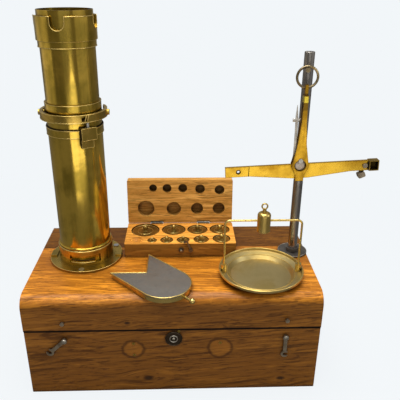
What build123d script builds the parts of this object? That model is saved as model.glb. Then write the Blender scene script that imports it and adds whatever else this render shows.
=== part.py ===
from build123d import *
import os
from math import pi

# A quarter-litre grain tester set up on its own oak case. X runs to the right, Y to the
# back and Z up. The origin is the middle of the case's bottom. Sizes are millimetres.

# Running and resting gaps
rest_gap = 0.3          # loose fit between pieces that lift apart
pin_gap = 0.05          # radial play of a pin in its hole
thin_head = 0.9         # height of the small screw heads
cut_past = 1.0          # how far a cut runs past what it cuts
cut_past_turn = 1.0     # the same for a cut along an arc, in degrees

# Oak case
case_width = 312.0
case_depth = 160.0
case_height = 120.7
case_seam = 81.0        # height of the joint between base and lid
case_wall = 9.0
case_floor_thick = 6.0
lid_top_thick = 14.5
lid_edge_radius = 14.0  # rounding of the lid's long front edge
rear_board_depth = 53.5 # darker board let into the back of the lid's top
case_knuckle_r = 3.0
case_hinge_pin_r = 1.5
case_leaf_length = 38.0
case_leaf_drop = 18.0
case_leaf_thick = 1.6
case_leaf_gap = 0.2     # between the knuckle and the case's back
case_hinge_inset = 62.0 # from each end of the case to the middle of a hinge

# Front fittings of the case
hook_thick = 1.8
hook_width = 5.2
hook_pivot_height = 70.0
hook_stud_height = 91.8
hook_stud_r = 1.5
claw_gap = 0.5
left_hook_x = -114.5
right_hook_x = 119.0
hook_screw_r = 1.9
hook_head_r = 3.0
stud_head_rim = 0.6
hook_stand_off = 0.4     # between the case and the hook
hook_head_gap = 0.2
hook_rest_angle = 47.0  # the left hook hangs out to the left
hook_waist_share = 0.7  # of the hook's width, between its eye and its claw
hook_claw_share = 0.75  # of the hook's width, the claw's radius
escutcheon_r = 9.0
escutcheon_thick = 1.2
lock_height = 70.0
key_pin_r = 1.6
key_slot_r = 2.4
lock_width = 46.0
lock_depth = 8.0
lock_tall = 30.0
bolt_width = 12.0
bolt_thick = 3.0
bolt_sunk = 0.5         # the drawn bolt lies below the lock's top
lock_drop = 1.0         # the lock lies below the case's seam
nail_head_r = 1.5
nail_head_thick = 0.5
nail_places = ((5.5, 79.0), (-42.6, 64.0), (-42.2, 48.8), (49.4, 63.2))
plug_centre = (48.3, 55.7)
plug_r = 11.6
plug_thick = 4.0

# Measure column
column_x = -101.4
column_y = 9.2
bore_r = 26.2
measure_outer_r = 28.1
measure_base_z = 134.0
measure_floor_thick = 2.5
measure_skirt = 9.0     # the tube runs on below its floor, into the foot
measure_top_z = 288.5
measure_volume = 250000.0
bead_r = 1.6
bead_z = 143.5
collar_outer_r = 29.3
collar_low_z = 270.4
collar_high_z = 278.1
flange_r = 40.8
flange_thick = 2.6
foot_ring_r = 30.2
foot_ring_height = 20.6
lug_angle = 56.0
lug_low_z = 127.0
lug_high_z = 132.0
slot_high_z = 136.4
lug_turn = 10.0
lug_facing = -88.0
notch_facing = -35.0
notch_angle = 14.0
pad_length = 7.0
pad_width = 13.0
pad_thick = 1.6
pad_rim = 0.1           # the pads end a little inside the flange's edge
flange_edge_radius = 0.6
notch_wall = 1.2
foot_screws_count = 3
bayonet_turns = (0, 120, 240)
flange_screw_r = 1.6
flange_screw_head_r = 3.0
flange_screw_circle_r = 36.6
knife_ring_r = 34.2
knife_ring_wall = 3.0
knife_ring_high_z = 294.7
knife_slot = 1.8
knife_plate_thick = 1.4
knife_entry_half_angle = 62.0
ring_window_facing = -67.0
ear_r = 3.0
ear_reach = 3.2
window_angle = 9.0
window_sill = 1.4
window_head = 1.6
window_behind = 0.5     # the window's cut runs this far behind the ring's wall
latch_facing = -55.5
latch_width = 16.0
latch_low_z = 268.9
latch_high_z = 281.2
latch_reach = 34.6
latch_root = 2.0        # narrow root of the latch, in front of the collar
latch_behind = 4.0      # depth of stock behind it, which the collar's curve trims
latch_toe_low_z = 260.6
latch_toe_reach = 32.4
latch_pin_r = 1.5
latch_pin_travel = 4.0
latch_pin_sunk = 7.0
latch_pin_set = 2.4     # from the collar to the pin's middle
latch_toe_shift = -1.5
latch_cheek = 1.5       # the lower part is this much narrower at each side
filling_outer_r = 27.0
filling_top_z = 391.0
filling_socket_r = 28.6
filling_socket_high_z = 303.0
mouth_collar_r = 29.7
mouth_cutter = 8.0      # the notch cutter is this long across the wall
mouth_collar_low_z = 363.5
mouth_collar_high_z = 385.7
mouth_band_r = 28.4
mouth_band_low_z = 357.0
mouth_notch_width = 14.0
mouth_notch_depth = 12.5
mouth_notch_turn = -4.5
piston_gap = 0.25
piston_wall = 2.5
piston_hole_r = 5.0

# Balance
post_x = 140.5
post_y = 14.0
post_r = 5.3
post_top_z = 351.5
foot_disc_r = 17.0
foot_disc_thick = 1.8
foot_collar_r = 7.6
foot_collar_high = 6.5
foot_screw_r = 1.4
hang_x = 137.0
hang_y = 0.0
peg_r = 1.5
peg_z = 336.0
peg_beyond = 5.0
ring_mean_r = 10.6
ring_wire_r = 1.3
fork_neck_width = 3.4
fork_block_width = 4.6
fork_block_low_z = 302.6
fork_block_high_z = 310.5
fork_blade_thick = 1.6
fork_gap = 4.4
fork_eye_outer_r = 8.8
fork_eye_r = 6.2
fork_eye_z = 234.9
fork_tip_z = 217.5
fork_tip_width = 8.8
fork_waist_rise = 47.1  # heights over and under the eye's middle
fork_waist_swell = 0.4
fork_shoulder_rise = 23.1
fork_shoulder_swell = 2.6
fork_eye_top_rise = 4.0
fork_eye_low_drop = 5.4
eye_high_share = 0.94    # of the eye's radius, where the arm's upper edge meets it
eye_low_share = 0.82     # and where its lower edge does
fork_tip_drop = 11.5
fork_neck_cover = 1.6   # metal over the ring's eye in the neck
ring_eye_gap = 0.5
pin_proud = 0.4
knife_pin_r = 2.35
knife_pin_z = 240.5
beam_thick = 3.0
beam_left = 81.0        # reach from the knife to the left end
beam_right = 74.5
beam_top_drop = 4.2     # top edge below the knife
beam_depth_mid = 16.2
beam_depth_end = 11.4
beam_taper_reach = 55.0
beam_tilt = 3.0         # the beam stands low on the left
beam_hole_reach = 66.8
beam_hole_r = 1.7
beam_eye_rim = 1.9
beam_boss_rim = 2.4
beam_slot_width = 3.0
beam_slot_margin = 1.5
end_box_length = 10.5
end_box_width = 8.0
end_box_depth = 11.4
end_box_wall = 1.0
hook_pin_inset = 4.1    # from the beam's right end to the hook's pin
hook_arm_reach = beam_right - hook_pin_inset
hook_arm_r = 1.1
hook_body_width = 8.0
hook_body_depth = 5.9
hook_body_drop = 5.0    # from the beam's lower edge to the body's middle
hook_strap_width = 2.6
hook_strap_drop = 4.0
hook_strap_thick = 1.2
hook_side_gap = 0.4
hook_head_wide = 2.6    # the hook's pin shows a round head in front
hook_body_turn = 20.0
hook_body_back = 3.0    # the body hangs this far to the left of the pin
pointer_width = 6.0
pointer_thick = 1.2
pointer_tip_rise = 60.0
pointer_cross_rise = 43.5
pointer_cross_width = 9.4
pointer_cross_depth = 2.2
pointer_neck_half = 1.6
pointer_neck_rise = 3.0

# Pan
pan_x = 95.3
pan_y = -38.7
pan_r = 45.8
pan_floor_r = 33.3
pan_height = 9.0
pan_metal = 1.2
pan_lip = 1.6
pan_cone_reach = 3.5
pan_cone_rise = 3.4
pan_shelf_rise = 5.4
pan_edge_rise = 6.8
pan_inner_step = 0.6
bail_half = 40.6
bail_wire_r = 1.15
bail_rise = 66.6
bail_corner_r = 5.0
socket_r = 3.3
socket_rise = 10.5
socket_seat = 3.9       # the sockets' foot over the case
tare_r = 7.0
tare_low_rise = 54.5
tare_high_rise = 76.0
tare_eye_r = 2.9
tare_eye_wire_r = 0.8
tare_neck_r = 2.0
tare_neck_rise = 3.5

# Strike-off knife
blade_x = -48.5
blade_y = -21.5
blade_width = 55.6
blade_length = 84.0
blade_touch = 0.001     # the knob's stem starts this far outside the rim
blade_thick = 1.5
blade_rim_height = 6.3
blade_rim_thick = 2.0
blade_stem_r = 1.4
blade_stem = 12.0
blade_knob_r = 3.2
blade_rim_start = 4.0   # the rim begins behind the V
knife_way = -45.0       # the handle points to the front right

# Box of weights
box_x = 7.5
box_front_y = 2.6
box_width = 129.0
box_depth = 55.0
box_base_height = 17.3
box_lid_height = 12.0
box_lean = 5.0          # the open lid leans back
box_corner_r = 1.5
box_pin_r = 0.9
box_knuckle_r = 2.0
box_leaf_length = 15.0
box_leaf_reach = 6.0
box_notch = 2.6         # half the notch that clears the knuckles
box_leaf_thick = 0.8
box_hinge_reach = 29.0
recess_depth = 11.5
weight_gap = 0.5
clasp_x = 8.5
clasp_z = 9.5
clasp_knob_r = 3.0
clasp_hook_span = 11.0
clasp_hook_length = 12.0
clasp_wire_r = 0.9
clasp_screw_r = 1.1
clasp_rose_thick = 1.2
clasp_pip_thick = 1.6
clasp_hook_eye_r = 2.3
clasp_hook_thick = 1.8
clasp_hook_lean = 20.0
clasp_claw_length = 5.0
clasp_screw_head = 0.8

# Diameter of each disc weight, its place in the box from the left front corner, its height
# over the wood and the diameter of the hole in the lid that takes its knob
weights = {
    "weight_100g": (33.0, 22.3, 36.0, 20.6),
    "weight_50g": (27.5, 56.5, 36.6, 17.8),
    "weight_20g_left": (23.6, 85.3, 36.4, 15.0),
    "weight_20g_right": (23.6, 112.3, 36.4, 15.0),
    "weight_1g": (10.0, 31.6, 9.5, 9.5),
    "weight_2g_left": (14.0, 48.6, 9.9, 10.8),
    "weight_2g_right": (14.0, 67.8, 9.9, 10.8),
    "weight_5g": (17.0, 88.9, 11.0, 11.8),
    "weight_10g": (20.0, 112.9, 12.3, 11.9),
}
weight_knob_rise = 8.5
weight_neck = 2.0
weight_sunk = 1.2       # the disc lies this much below the wood
weight_edge = 0.5
weight_knob_max = 3.0
weight_knob_share = 0.16
scoop_place = (13.2, 10.3)
scoop_r = 10.3
scoop_depth = 4.0

case_top = case_height
half_width = case_width / 2
half_depth = case_depth / 2
case_hinge_y = half_depth + case_knuckle_r + case_leaf_gap
box_left = box_x - box_width / 2
box_top = case_top + box_base_height
box_back = box_front_y + box_depth

os.makedirs("parts", exist_ok=True)
finished = []


def keep(piece, name):
    piece.label = name
    export_step(piece, "parts/" + name + ".step")
    finished.append(name)


def ring_arc(inner, outer, start, angle, low, high, centre):
    """A slice of a ring: a wall between two radii over an angle, from low to high."""
    with BuildPart() as piece:
        with BuildSketch(Plane.XZ):
            with Locations(((inner + outer) / 2, (low + high) / 2)):
                Rectangle(outer - inner, high - low)
        revolve(axis=Axis.Z, revolution_arc=angle)
    return Pos(*centre, 0) * Rot(0, 0, start) * piece.part


# Oak case: base with open top, floor let in, lid with a rounded front edge
with BuildPart() as case_base:
    with BuildSketch():
        Rectangle(case_width, case_depth)
        Rectangle(case_width - 2 * case_wall, case_depth - 2 * case_wall, mode=Mode.SUBTRACT)
    extrude(amount=case_seam)
    with BuildSketch(Plane.XZ.offset(half_depth)):
        with Locations(plug_centre):
            Circle(plug_r)
    extrude(amount=-plug_thick, mode=Mode.SUBTRACT)
    with BuildSketch(Plane.XZ.offset(half_depth)):
        with Locations((0, lock_height)):
            Circle(key_slot_r)
    extrude(amount=-case_wall, mode=Mode.SUBTRACT)
    fillet(case_base.edges().filter_by(Axis.Z).group_by(Axis.Y)[0], box_corner_r)
keep(case_base.part, "case_base")

with BuildPart() as case_floor:
    with BuildSketch():
        Rectangle(case_width - 2 * case_wall, case_depth - 2 * case_wall)
    extrude(amount=case_floor_thick)
keep(case_floor.part, "case_floor")

with BuildPart() as case_lid:
    with BuildSketch(Plane.YZ.offset(-half_width)):
        with BuildLine():
            Polyline((half_depth, case_seam), (-half_depth, case_seam),
                     (-half_depth, case_top - lid_edge_radius))
            RadiusArc((-half_depth, case_top - lid_edge_radius),
                      (-half_depth + lid_edge_radius, case_top), lid_edge_radius)
            Polyline((-half_depth + lid_edge_radius, case_top), (half_depth, case_top),
                     (half_depth, case_seam))
        make_face()
    extrude(amount=case_width)
    with BuildSketch(Plane.XY.offset(case_seam)):
        Rectangle(case_width - 2 * case_wall, case_depth - 2 * case_wall)
    extrude(amount=case_height - case_seam - lid_top_thick, mode=Mode.SUBTRACT)
    with BuildSketch(Plane.XY.offset(case_top)):
        with Locations((0, half_depth - rear_board_depth / 2)):
            Rectangle(case_width, rear_board_depth)
    extrude(amount=-lid_top_thick, mode=Mode.SUBTRACT)
keep(case_lid.part, "case_lid")

with BuildPart() as rear_board:
    with BuildSketch(Plane.XY.offset(case_top)):
        with Locations((0, half_depth - rear_board_depth / 2)):
            Rectangle(case_width, rear_board_depth)
    extrude(amount=-lid_top_thick)
keep(rear_board.part, "lid_rear_board")

# Two brass butt hinges on the back of the case
hinge_places = (-half_width + case_hinge_inset, half_width - case_hinge_inset)
knuckle = case_leaf_length / 3


def knuckle_at(x, length, bore):
    """A hinge knuckle along X about the case hinge's axis."""
    with BuildPart() as piece:
        with BuildSketch(Plane.YZ.offset(x - length / 2)):
            with Locations((case_hinge_y, case_seam)):
                Circle(case_knuckle_r)
                Circle(bore, mode=Mode.SUBTRACT)
        extrude(amount=length)
    return piece.part


with BuildPart() as base_leaves:
    for x in hinge_places:
        with BuildSketch(Plane.XZ.offset(-half_depth)):
            with Locations((x, case_seam - case_knuckle_r - case_leaf_drop / 2)):
                Rectangle(case_leaf_length, case_leaf_drop)
        extrude(amount=-case_leaf_thick)
        for side in (-1, 1):
            add(knuckle_at(x + side * knuckle, knuckle - rest_gap, case_hinge_pin_r))
            with BuildSketch(Plane.XZ.offset(-half_depth)):
                with Locations((x + side * knuckle, case_seam - case_knuckle_r)):
                    Rectangle(knuckle - rest_gap, 2 * case_knuckle_r - case_leaf_gap)
            extrude(amount=-case_leaf_thick)
keep(base_leaves.part, "case_hinge_base_leaves")

with BuildPart() as lid_leaves:
    for x in hinge_places:
        with BuildSketch(Plane.XZ.offset(-half_depth)):
            with Locations((x, case_seam + case_knuckle_r + case_leaf_drop / 2)):
                Rectangle(case_leaf_length, case_leaf_drop)
        extrude(amount=-case_leaf_thick)
        add(knuckle_at(x, knuckle - rest_gap, case_hinge_pin_r + pin_gap))
        with BuildSketch(Plane.XZ.offset(-half_depth)):
            with Locations((x, case_seam + case_knuckle_r)):
                Rectangle(knuckle - rest_gap, 2 * case_knuckle_r - case_leaf_gap)
        extrude(amount=-case_leaf_thick)
keep(lid_leaves.part, "case_hinge_lid_leaves")

with BuildPart() as case_pins:
    for x in hinge_places:
        with BuildSketch(Plane.YZ.offset(x - case_leaf_length / 2)):
            with Locations((case_hinge_y, case_seam)):
                Circle(case_hinge_pin_r)
        extrude(amount=case_leaf_length)
keep(case_pins.part, "case_hinge_pins")

# Two hooks on screws in the base, with the studs that they catch in the lid
hook_y = -half_depth - hook_stand_off
hook_length = hook_stud_height - hook_pivot_height


def hook_plate(x, turn, side):
    """A flat hook hanging from its pivot: a round head, a bar and a claw open to one side."""
    with BuildPart() as piece:
        with BuildSketch(Plane.XZ.offset(-hook_y)):
            Circle(hook_width / 2)
            with Locations((0, -hook_length / 2 + hook_width / 4)):
                Rectangle(hook_width * hook_waist_share, hook_length - hook_width / 2)
            with Locations((0, -hook_length)):
                Circle(hook_width * hook_claw_share)
            with Locations((0, -hook_length)):
                Circle(hook_stud_r + claw_gap, mode=Mode.SUBTRACT)
            with Locations((side * hook_width / 2, -hook_length)):
                Rectangle(hook_width, 2 * (hook_stud_r + claw_gap), mode=Mode.SUBTRACT)
            Circle(hook_screw_r + pin_gap, mode=Mode.SUBTRACT)
        extrude(amount=hook_thick)
    return Pos(x, 0, hook_pivot_height) * Rot(0, turn, 0) * piece.part


keep(hook_plate(left_hook_x, hook_rest_angle, -1), "left_hook")
keep(hook_plate(right_hook_x, 0, 1), "right_hook")


def front_screw(x, z, shank, head, reach):
    """A round-headed screw or stud set square into the case's front."""
    with BuildPart() as piece:
        with BuildSketch(Plane.XZ.offset(half_depth)):
            with Locations((x, z)):
                Circle(shank)
        extrude(amount=reach)
        with BuildSketch(Plane.XZ.offset(half_depth + reach)):
            with Locations((x, z)):
                Circle(head)
        extrude(amount=thin_head)
    return piece.part


screw_reach = hook_stand_off + hook_thick + hook_head_gap
with BuildPart() as hook_screws:
    for x in (left_hook_x, right_hook_x):
        add(front_screw(x, hook_pivot_height, hook_screw_r, hook_head_r, screw_reach))
keep(hook_screws.part, "hook_pivot_screws")

with BuildPart() as hook_studs:
    for x in (left_hook_x, right_hook_x):
        add(front_screw(x, hook_stud_height, hook_stud_r,
                        hook_stud_r + stud_head_rim, screw_reach))
keep(hook_studs.part, "hook_studs")

# Lock: round escutcheon on the front, lock body behind the board, bolt that rises
with BuildPart() as escutcheon:
    with BuildSketch(Plane.XZ.offset(half_depth)):
        with Locations((0, lock_height)):
            Circle(escutcheon_r)
            Circle(key_slot_r, mode=Mode.SUBTRACT)
    extrude(amount=escutcheon_thick)
keep(escutcheon.part, "lock_escutcheon")

lock_face = half_depth - case_wall
lock_low_z = case_seam - lock_drop - lock_tall
with BuildPart() as lock_body:
    with BuildSketch(Plane.XZ.offset(lock_face)):
        with Locations((0, lock_low_z + lock_tall / 2)):
            Rectangle(lock_width, lock_tall)
    extrude(amount=-lock_depth)
    with BuildSketch(Plane.XY.offset(lock_low_z + lock_tall)):
        with Locations((0, -lock_face + lock_depth / 2)):
            Rectangle(bolt_width + 2 * rest_gap, bolt_thick + 2 * rest_gap)
    extrude(amount=-lock_tall / 2, mode=Mode.SUBTRACT)
    with BuildSketch(Plane.XZ.offset(lock_face)):
        with Locations((0, lock_height)):
            Circle(key_pin_r)
    extrude(amount=case_wall + escutcheon_thick)
keep(lock_body.part, "lock_body")

with BuildPart() as lock_bolt:
    with BuildSketch(Plane.XY.offset(lock_low_z + lock_tall - bolt_sunk)):
        with Locations((0, -lock_face + lock_depth / 2)):
            Rectangle(bolt_width, bolt_thick)
    extrude(amount=-lock_tall / 2 + bolt_sunk)
keep(lock_bolt.part, "lock_bolt")

with BuildPart() as nails:
    for x, z in nail_places:
        with BuildSketch(Plane.XZ.offset(half_depth)):
            with Locations((x, z)):
                Circle(nail_head_r)
        extrude(amount=nail_head_thick)
keep(nails.part, "front_nails")

with BuildPart() as plug:
    with BuildSketch(Plane.XZ.offset(half_depth)):
        with Locations(plug_centre):
            Circle(plug_r)
    extrude(amount=-plug_thick)
keep(plug.part, "wood_plug")

# Column: a screwed foot with a bayonet ring
column = (column_x, column_y)
foot_top_z = case_top + foot_ring_height
seat_r = measure_outer_r + rest_gap


def on_column(height):
    """A level plane at a height, centred on the column."""
    return Plane.XY.offset(height).shift_origin((column_x, column_y, height))


with BuildPart() as foot:
    with BuildSketch(on_column(case_top)):
        Circle(flange_r)
    extrude(amount=flange_thick)
    fillet(foot.edges().sort_by(Axis.Z)[-1], flange_edge_radius)
    with BuildSketch(on_column(case_top)):
        Circle(foot_ring_r)
    extrude(amount=foot_ring_height)
    with BuildSketch(on_column(measure_base_z - measure_skirt)):
        Circle(seat_r)
    extrude(amount=foot_ring_height, mode=Mode.SUBTRACT)
    for turn in bayonet_turns:
        start = lug_facing + turn - lug_angle / 2 - cut_past_turn
        add(
            ring_arc(seat_r - 0.2, foot_ring_r + cut_past, start,
                     lug_angle + lug_turn + 2 * cut_past_turn,
                     lug_low_z - rest_gap, slot_high_z, column),
            mode=Mode.SUBTRACT,
        )
    add(
        ring_arc(foot_ring_r - notch_wall, foot_ring_r + cut_past, notch_facing - notch_angle / 2,
                 notch_angle, lug_low_z - 2, foot_top_z - 4, column),
        mode=Mode.SUBTRACT,
    )
    for facing in (0, 180):
        with Locations(Pos(*column, case_top + flange_thick) * Rot(0, 0, facing)
                       * Pos(flange_r - pad_rim - pad_length / 2 - flange_edge_radius, 0,
                             pad_thick / 2)):
            Box(pad_length, pad_width, pad_thick)
    with Locations(Pos(*column, case_top + flange_thick)):
        with PolarLocations(flange_screw_circle_r, foot_screws_count, start_angle=-90):
            Hole(flange_screw_r + pin_gap, depth=flange_thick)
keep(foot.part, "column_foot")

with BuildPart() as foot_screws:
    with BuildSketch(on_column(case_top)):
        with PolarLocations(flange_screw_circle_r, foot_screws_count, start_angle=-90):
            Circle(flange_screw_r)
    extrude(amount=flange_thick)
    with BuildSketch(on_column(case_top + flange_thick)):
        with PolarLocations(flange_screw_circle_r, foot_screws_count, start_angle=-90):
            Circle(flange_screw_head_r)
    extrude(amount=thin_head)
keep(foot_screws.part, "foot_screws")

# Quarter-litre measure: bored tube with its floor, bottom bead and three bayonet lugs
measure_floor_z = measure_base_z + measure_floor_thick
with BuildPart() as measure:
    with BuildSketch(on_column(measure_base_z - measure_skirt)):
        Circle(measure_outer_r)
    extrude(amount=measure_top_z - measure_base_z + measure_skirt)
    for turn in bayonet_turns:
        add(ring_arc(measure_outer_r - 0.5, foot_ring_r - rest_gap,
                     lug_facing + turn - lug_angle / 2, lug_angle, lug_low_z, lug_high_z,
                     column))
    with BuildSketch(on_column(measure_base_z - measure_skirt)):
        Circle(bore_r)
    extrude(amount=measure_skirt, mode=Mode.SUBTRACT)
    with BuildSketch(on_column(measure_floor_z)):
        Circle(bore_r)
    extrude(amount=measure_top_z - measure_floor_z, mode=Mode.SUBTRACT)
    with BuildSketch(Plane.XZ.offset(-column_y)):
        with Locations((column_x + measure_outer_r, bead_z)):
            Circle(bead_r)
    revolve(axis=Axis((column_x, column_y, 0), (0, 0, 1)))
    with BuildSketch(on_column(bead_z)):
        Circle(bore_r)
    extrude(amount=2 * bead_r, both=True, mode=Mode.SUBTRACT)
keep(measure.part, "measure_tube")

with BuildPart() as collar:
    with BuildSketch(on_column(collar_low_z)):
        Circle(collar_outer_r)
        Circle(measure_outer_r, mode=Mode.SUBTRACT)
    extrude(amount=collar_high_z - collar_low_z)
    fillet(collar.edges().group_by(Axis.Z)[0].sort_by(SortBy.LENGTH)[-1], 0.5)
keep(collar.part, "measure_collar")

# Knife ring at the measure's mouth: plate, outer wall, rails that guide the knife and
# carry the filling tube, and an ear with a screw head at each side
ring_low_z = measure_top_z - knife_plate_thick
rail_z = measure_top_z + knife_slot
half_entry = blade_width / 2 + rest_gap
with BuildPart() as knife_ring:
    with BuildSketch(on_column(ring_low_z)):
        Circle(knife_ring_r)
        Circle(measure_outer_r, mode=Mode.SUBTRACT)
    extrude(amount=knife_plate_thick)
    with BuildSketch(on_column(ring_low_z)):
        Circle(knife_ring_r)
        Circle(knife_ring_r - knife_ring_wall, mode=Mode.SUBTRACT)
    extrude(amount=knife_ring_high_z - ring_low_z)
    with BuildSketch(on_column(measure_top_z)):
        Circle(knife_ring_r - knife_ring_wall / 2)
        Rectangle(2 * half_entry, 2 * (knife_ring_r + cut_past), mode=Mode.SUBTRACT)
    extrude(amount=knife_slot)
    with BuildSketch(on_column(measure_top_z)):
        with Locations((0, knife_ring_r)):
            Rectangle(2 * half_entry, 1.2 * knife_ring_r)
    extrude(amount=knife_ring_high_z - measure_top_z + cut_past, mode=Mode.SUBTRACT)
    for facing in (0, 180):
        with Locations(Pos(*column, (ring_low_z + knife_ring_high_z) / 2) * Rot(0, 0, facing)
                       * Pos(knife_ring_r - 1, 0, 0) * Rot(0, 90, 0)):
            Cylinder(ear_r, 2 * ear_reach)
    add(
        ring_arc(knife_ring_r - knife_ring_wall - window_behind, knife_ring_r + cut_past,
                 ring_window_facing, window_angle, ring_low_z + window_sill,
                 knife_ring_high_z - window_head, column),
        mode=Mode.SUBTRACT,
    )
keep(knife_ring.part, "knife_ring")

# Latch block under the ring, with the pin that locks the knife
with BuildPart() as latch_block:
    with Locations(Pos(*column, 0) * Rot(0, 0, latch_facing)):
        with Locations(((collar_outer_r + latch_reach) / 2, 0, (latch_low_z + latch_high_z) / 2)):
            Box(latch_reach - collar_outer_r, latch_width, latch_high_z - latch_low_z)
        with Locations(((collar_outer_r + latch_toe_reach) / 2, latch_toe_shift,
                        (latch_toe_low_z + latch_low_z) / 2)):
            Box(latch_toe_reach - collar_outer_r, latch_width - 2 * latch_cheek,
                latch_low_z - latch_toe_low_z)
        with Locations((collar_outer_r + (latch_root - latch_behind) / 2, 0,
                        (latch_toe_low_z + latch_high_z) / 2)):
            Box(latch_root + latch_behind, latch_width - 2 * latch_cheek, latch_high_z - latch_toe_low_z)
        with Locations((collar_outer_r + latch_pin_set, 0, latch_high_z)):
            Cylinder(latch_pin_r + pin_gap, 2 * (latch_pin_sunk + latch_pin_travel + cut_past),
                     mode=Mode.SUBTRACT)
    with BuildSketch(on_column(latch_toe_low_z - cut_past)):
        Circle(collar_outer_r)
    extrude(amount=latch_high_z - latch_toe_low_z + 2 * cut_past, mode=Mode.SUBTRACT)
keep(latch_block.part, "latch_block")

with BuildPart() as latch_pin:
    with Locations(Pos(*column, 0) * Rot(0, 0, latch_facing)
                   * Pos(collar_outer_r + latch_pin_set, 0, latch_high_z - latch_pin_sunk)):
        Cylinder(latch_pin_r, ring_low_z - latch_high_z + latch_pin_sunk - rest_gap,
                 align=(Align.CENTER, Align.CENTER, Align.MIN))
keep(latch_pin.part, "latch_pin")

# Filling tube with its socket band, and the notched collar round its mouth
with BuildPart() as filling_tube:
    with BuildSketch(on_column(rail_z)):
        Circle(filling_outer_r)
        Circle(bore_r, mode=Mode.SUBTRACT)
    extrude(amount=filling_top_z - rail_z)
keep(filling_tube.part, "filling_tube")

with BuildPart() as socket_band:
    with BuildSketch(on_column(rail_z)):
        Circle(filling_socket_r)
        Circle(filling_outer_r, mode=Mode.SUBTRACT)
    extrude(amount=filling_socket_high_z - rail_z)
    fillet(socket_band.edges().group_by(Axis.Z)[-1].sort_by(SortBy.LENGTH)[-1], 0.5)
keep(socket_band.part, "filling_socket_band")

with BuildPart() as mouth_collar:
    with BuildSketch(on_column(mouth_band_low_z)):
        Circle(mouth_band_r)
    extrude(amount=mouth_collar_low_z - mouth_band_low_z)
    with BuildSketch(on_column(mouth_collar_low_z)):
        Circle(mouth_collar_r)
    extrude(amount=mouth_collar_high_z - mouth_collar_low_z)
    with BuildSketch(on_column(mouth_band_low_z)):
        Circle(filling_outer_r)
    extrude(amount=mouth_collar_high_z - mouth_band_low_z, mode=Mode.SUBTRACT)
    for turn in range(4):
        with Locations(Pos(*column, mouth_collar_high_z)
                       * Rot(0, 0, mouth_notch_turn - 90 + 90 * turn)
                       * Pos(mouth_collar_r, 0, 0)):
            Box(mouth_cutter, mouth_notch_width, 2 * (mouth_notch_depth - mouth_notch_width / 2),
                mode=Mode.SUBTRACT)
            with Locations(Pos(0, 0, mouth_notch_width / 2 - mouth_notch_depth)
                           * Rot(0, 90, 0)):
                Cylinder(mouth_notch_width / 2, mouth_cutter, mode=Mode.SUBTRACT)
keep(mouth_collar.part, "mouth_collar")

# Falling piston: a hollow drum whose height leaves a quarter of a litre over it
piston_height = measure_top_z - measure_floor_z - measure_volume / (pi * bore_r**2)
piston_r = bore_r - piston_gap
with BuildPart() as piston:
    with BuildSketch(on_column(measure_floor_z)):
        Circle(piston_r)
    extrude(amount=piston_height)
    with BuildSketch(on_column(measure_floor_z)):
        Circle(piston_r - piston_wall)
    extrude(amount=piston_height - piston_wall, mode=Mode.SUBTRACT)
    with BuildSketch(on_column(measure_floor_z)):
        Circle(piston_hole_r)
    extrude(amount=piston_height, mode=Mode.SUBTRACT)
keep(piston.part, "falling_piston")

# Box of weights: base with stepped recesses, hinged lid that stands open
knuckle_y = box_back
knuckle_z = box_top
box_knuckle = box_leaf_length / 3
tail_length = box_notch - box_pin_r - pin_gap
tail_middle = (box_notch + box_pin_r + pin_gap) / 2


def leaf(x, side, near):
    """A hinge leaf let into the box's back, below (side -1) or over (side 1) the knuckles."""
    with BuildPart() as piece:
        with BuildSketch(Plane.XZ.offset(-knuckle_y)):
            with Locations((x, knuckle_z + side * (box_notch + box_leaf_reach / 2))):
                Rectangle(box_leaf_length, box_leaf_reach)
            for end in near:
                with Locations((x + end * box_knuckle, knuckle_z + side * tail_middle)):
                    Rectangle(box_knuckle - rest_gap, tail_length)
        extrude(amount=box_leaf_thick)
    return piece.part


def leaf_pocket(x, side):
    """What is cut from the wood for a hinge: the leaf's bed and the knuckles' notch."""
    with BuildPart() as piece:
        with BuildSketch(Plane.XZ.offset(-knuckle_y)):
            with Locations((x, knuckle_z + side * (box_notch + box_leaf_reach / 2))):
                Rectangle(box_leaf_length, box_leaf_reach)
        extrude(amount=box_leaf_thick)
        with Locations((x, knuckle_y, knuckle_z)):
            Box(box_leaf_length + 2 * rest_gap, 2 * box_notch, 2 * box_notch)
    return piece.part


with BuildPart() as box_base:
    with BuildSketch(Plane.XY.offset(case_top)):
        with Locations((box_x, box_front_y + box_depth / 2)):
            RectangleRounded(box_width, box_depth, box_corner_r)
    extrude(amount=box_base_height)
    for dia, along, back, hole in weights.values():
        with BuildSketch(Plane.XY.offset(box_top)):
            with Locations((box_left + along, box_front_y + back)):
                Circle(dia / 2 + weight_gap)
        extrude(amount=-recess_depth, mode=Mode.SUBTRACT)
    with Locations((box_left + scoop_place[0], box_front_y + scoop_place[1],
                    box_top + scoop_r - scoop_depth)):
        Sphere(scoop_r, mode=Mode.SUBTRACT)
    for side in (-1, 1):
        add(leaf_pocket(box_x + side * box_hinge_reach, -1),
            mode=Mode.SUBTRACT)
keep(box_base.part, "box_base")


def open_lid(piece):
    """Turns a piece made on the closed lid about the hinge, to where the open lid stands."""
    turn = Rot(-90 - box_lean, 0, 0)
    return Pos(0, knuckle_y, knuckle_z) * turn * Pos(0, -knuckle_y, -knuckle_z) * piece


with BuildPart() as box_lid:
    with BuildSketch(Plane.XY.offset(box_top + rest_gap)):
        with Locations((box_x, box_front_y + box_depth / 2)):
            RectangleRounded(box_width, box_depth, box_corner_r)
    extrude(amount=box_lid_height)
    for dia, along, back, hole in weights.values():
        with BuildSketch(Plane.XY.offset(box_top + rest_gap)):
            with Locations((box_left + along, box_front_y + back)):
                Circle(hole / 2)
        extrude(amount=weight_knob_rise, mode=Mode.SUBTRACT)
    for side in (-1, 1):
        add(leaf_pocket(box_x + side * box_hinge_reach, 1),
            mode=Mode.SUBTRACT)
keep(open_lid(box_lid.part), "box_lid")



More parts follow.
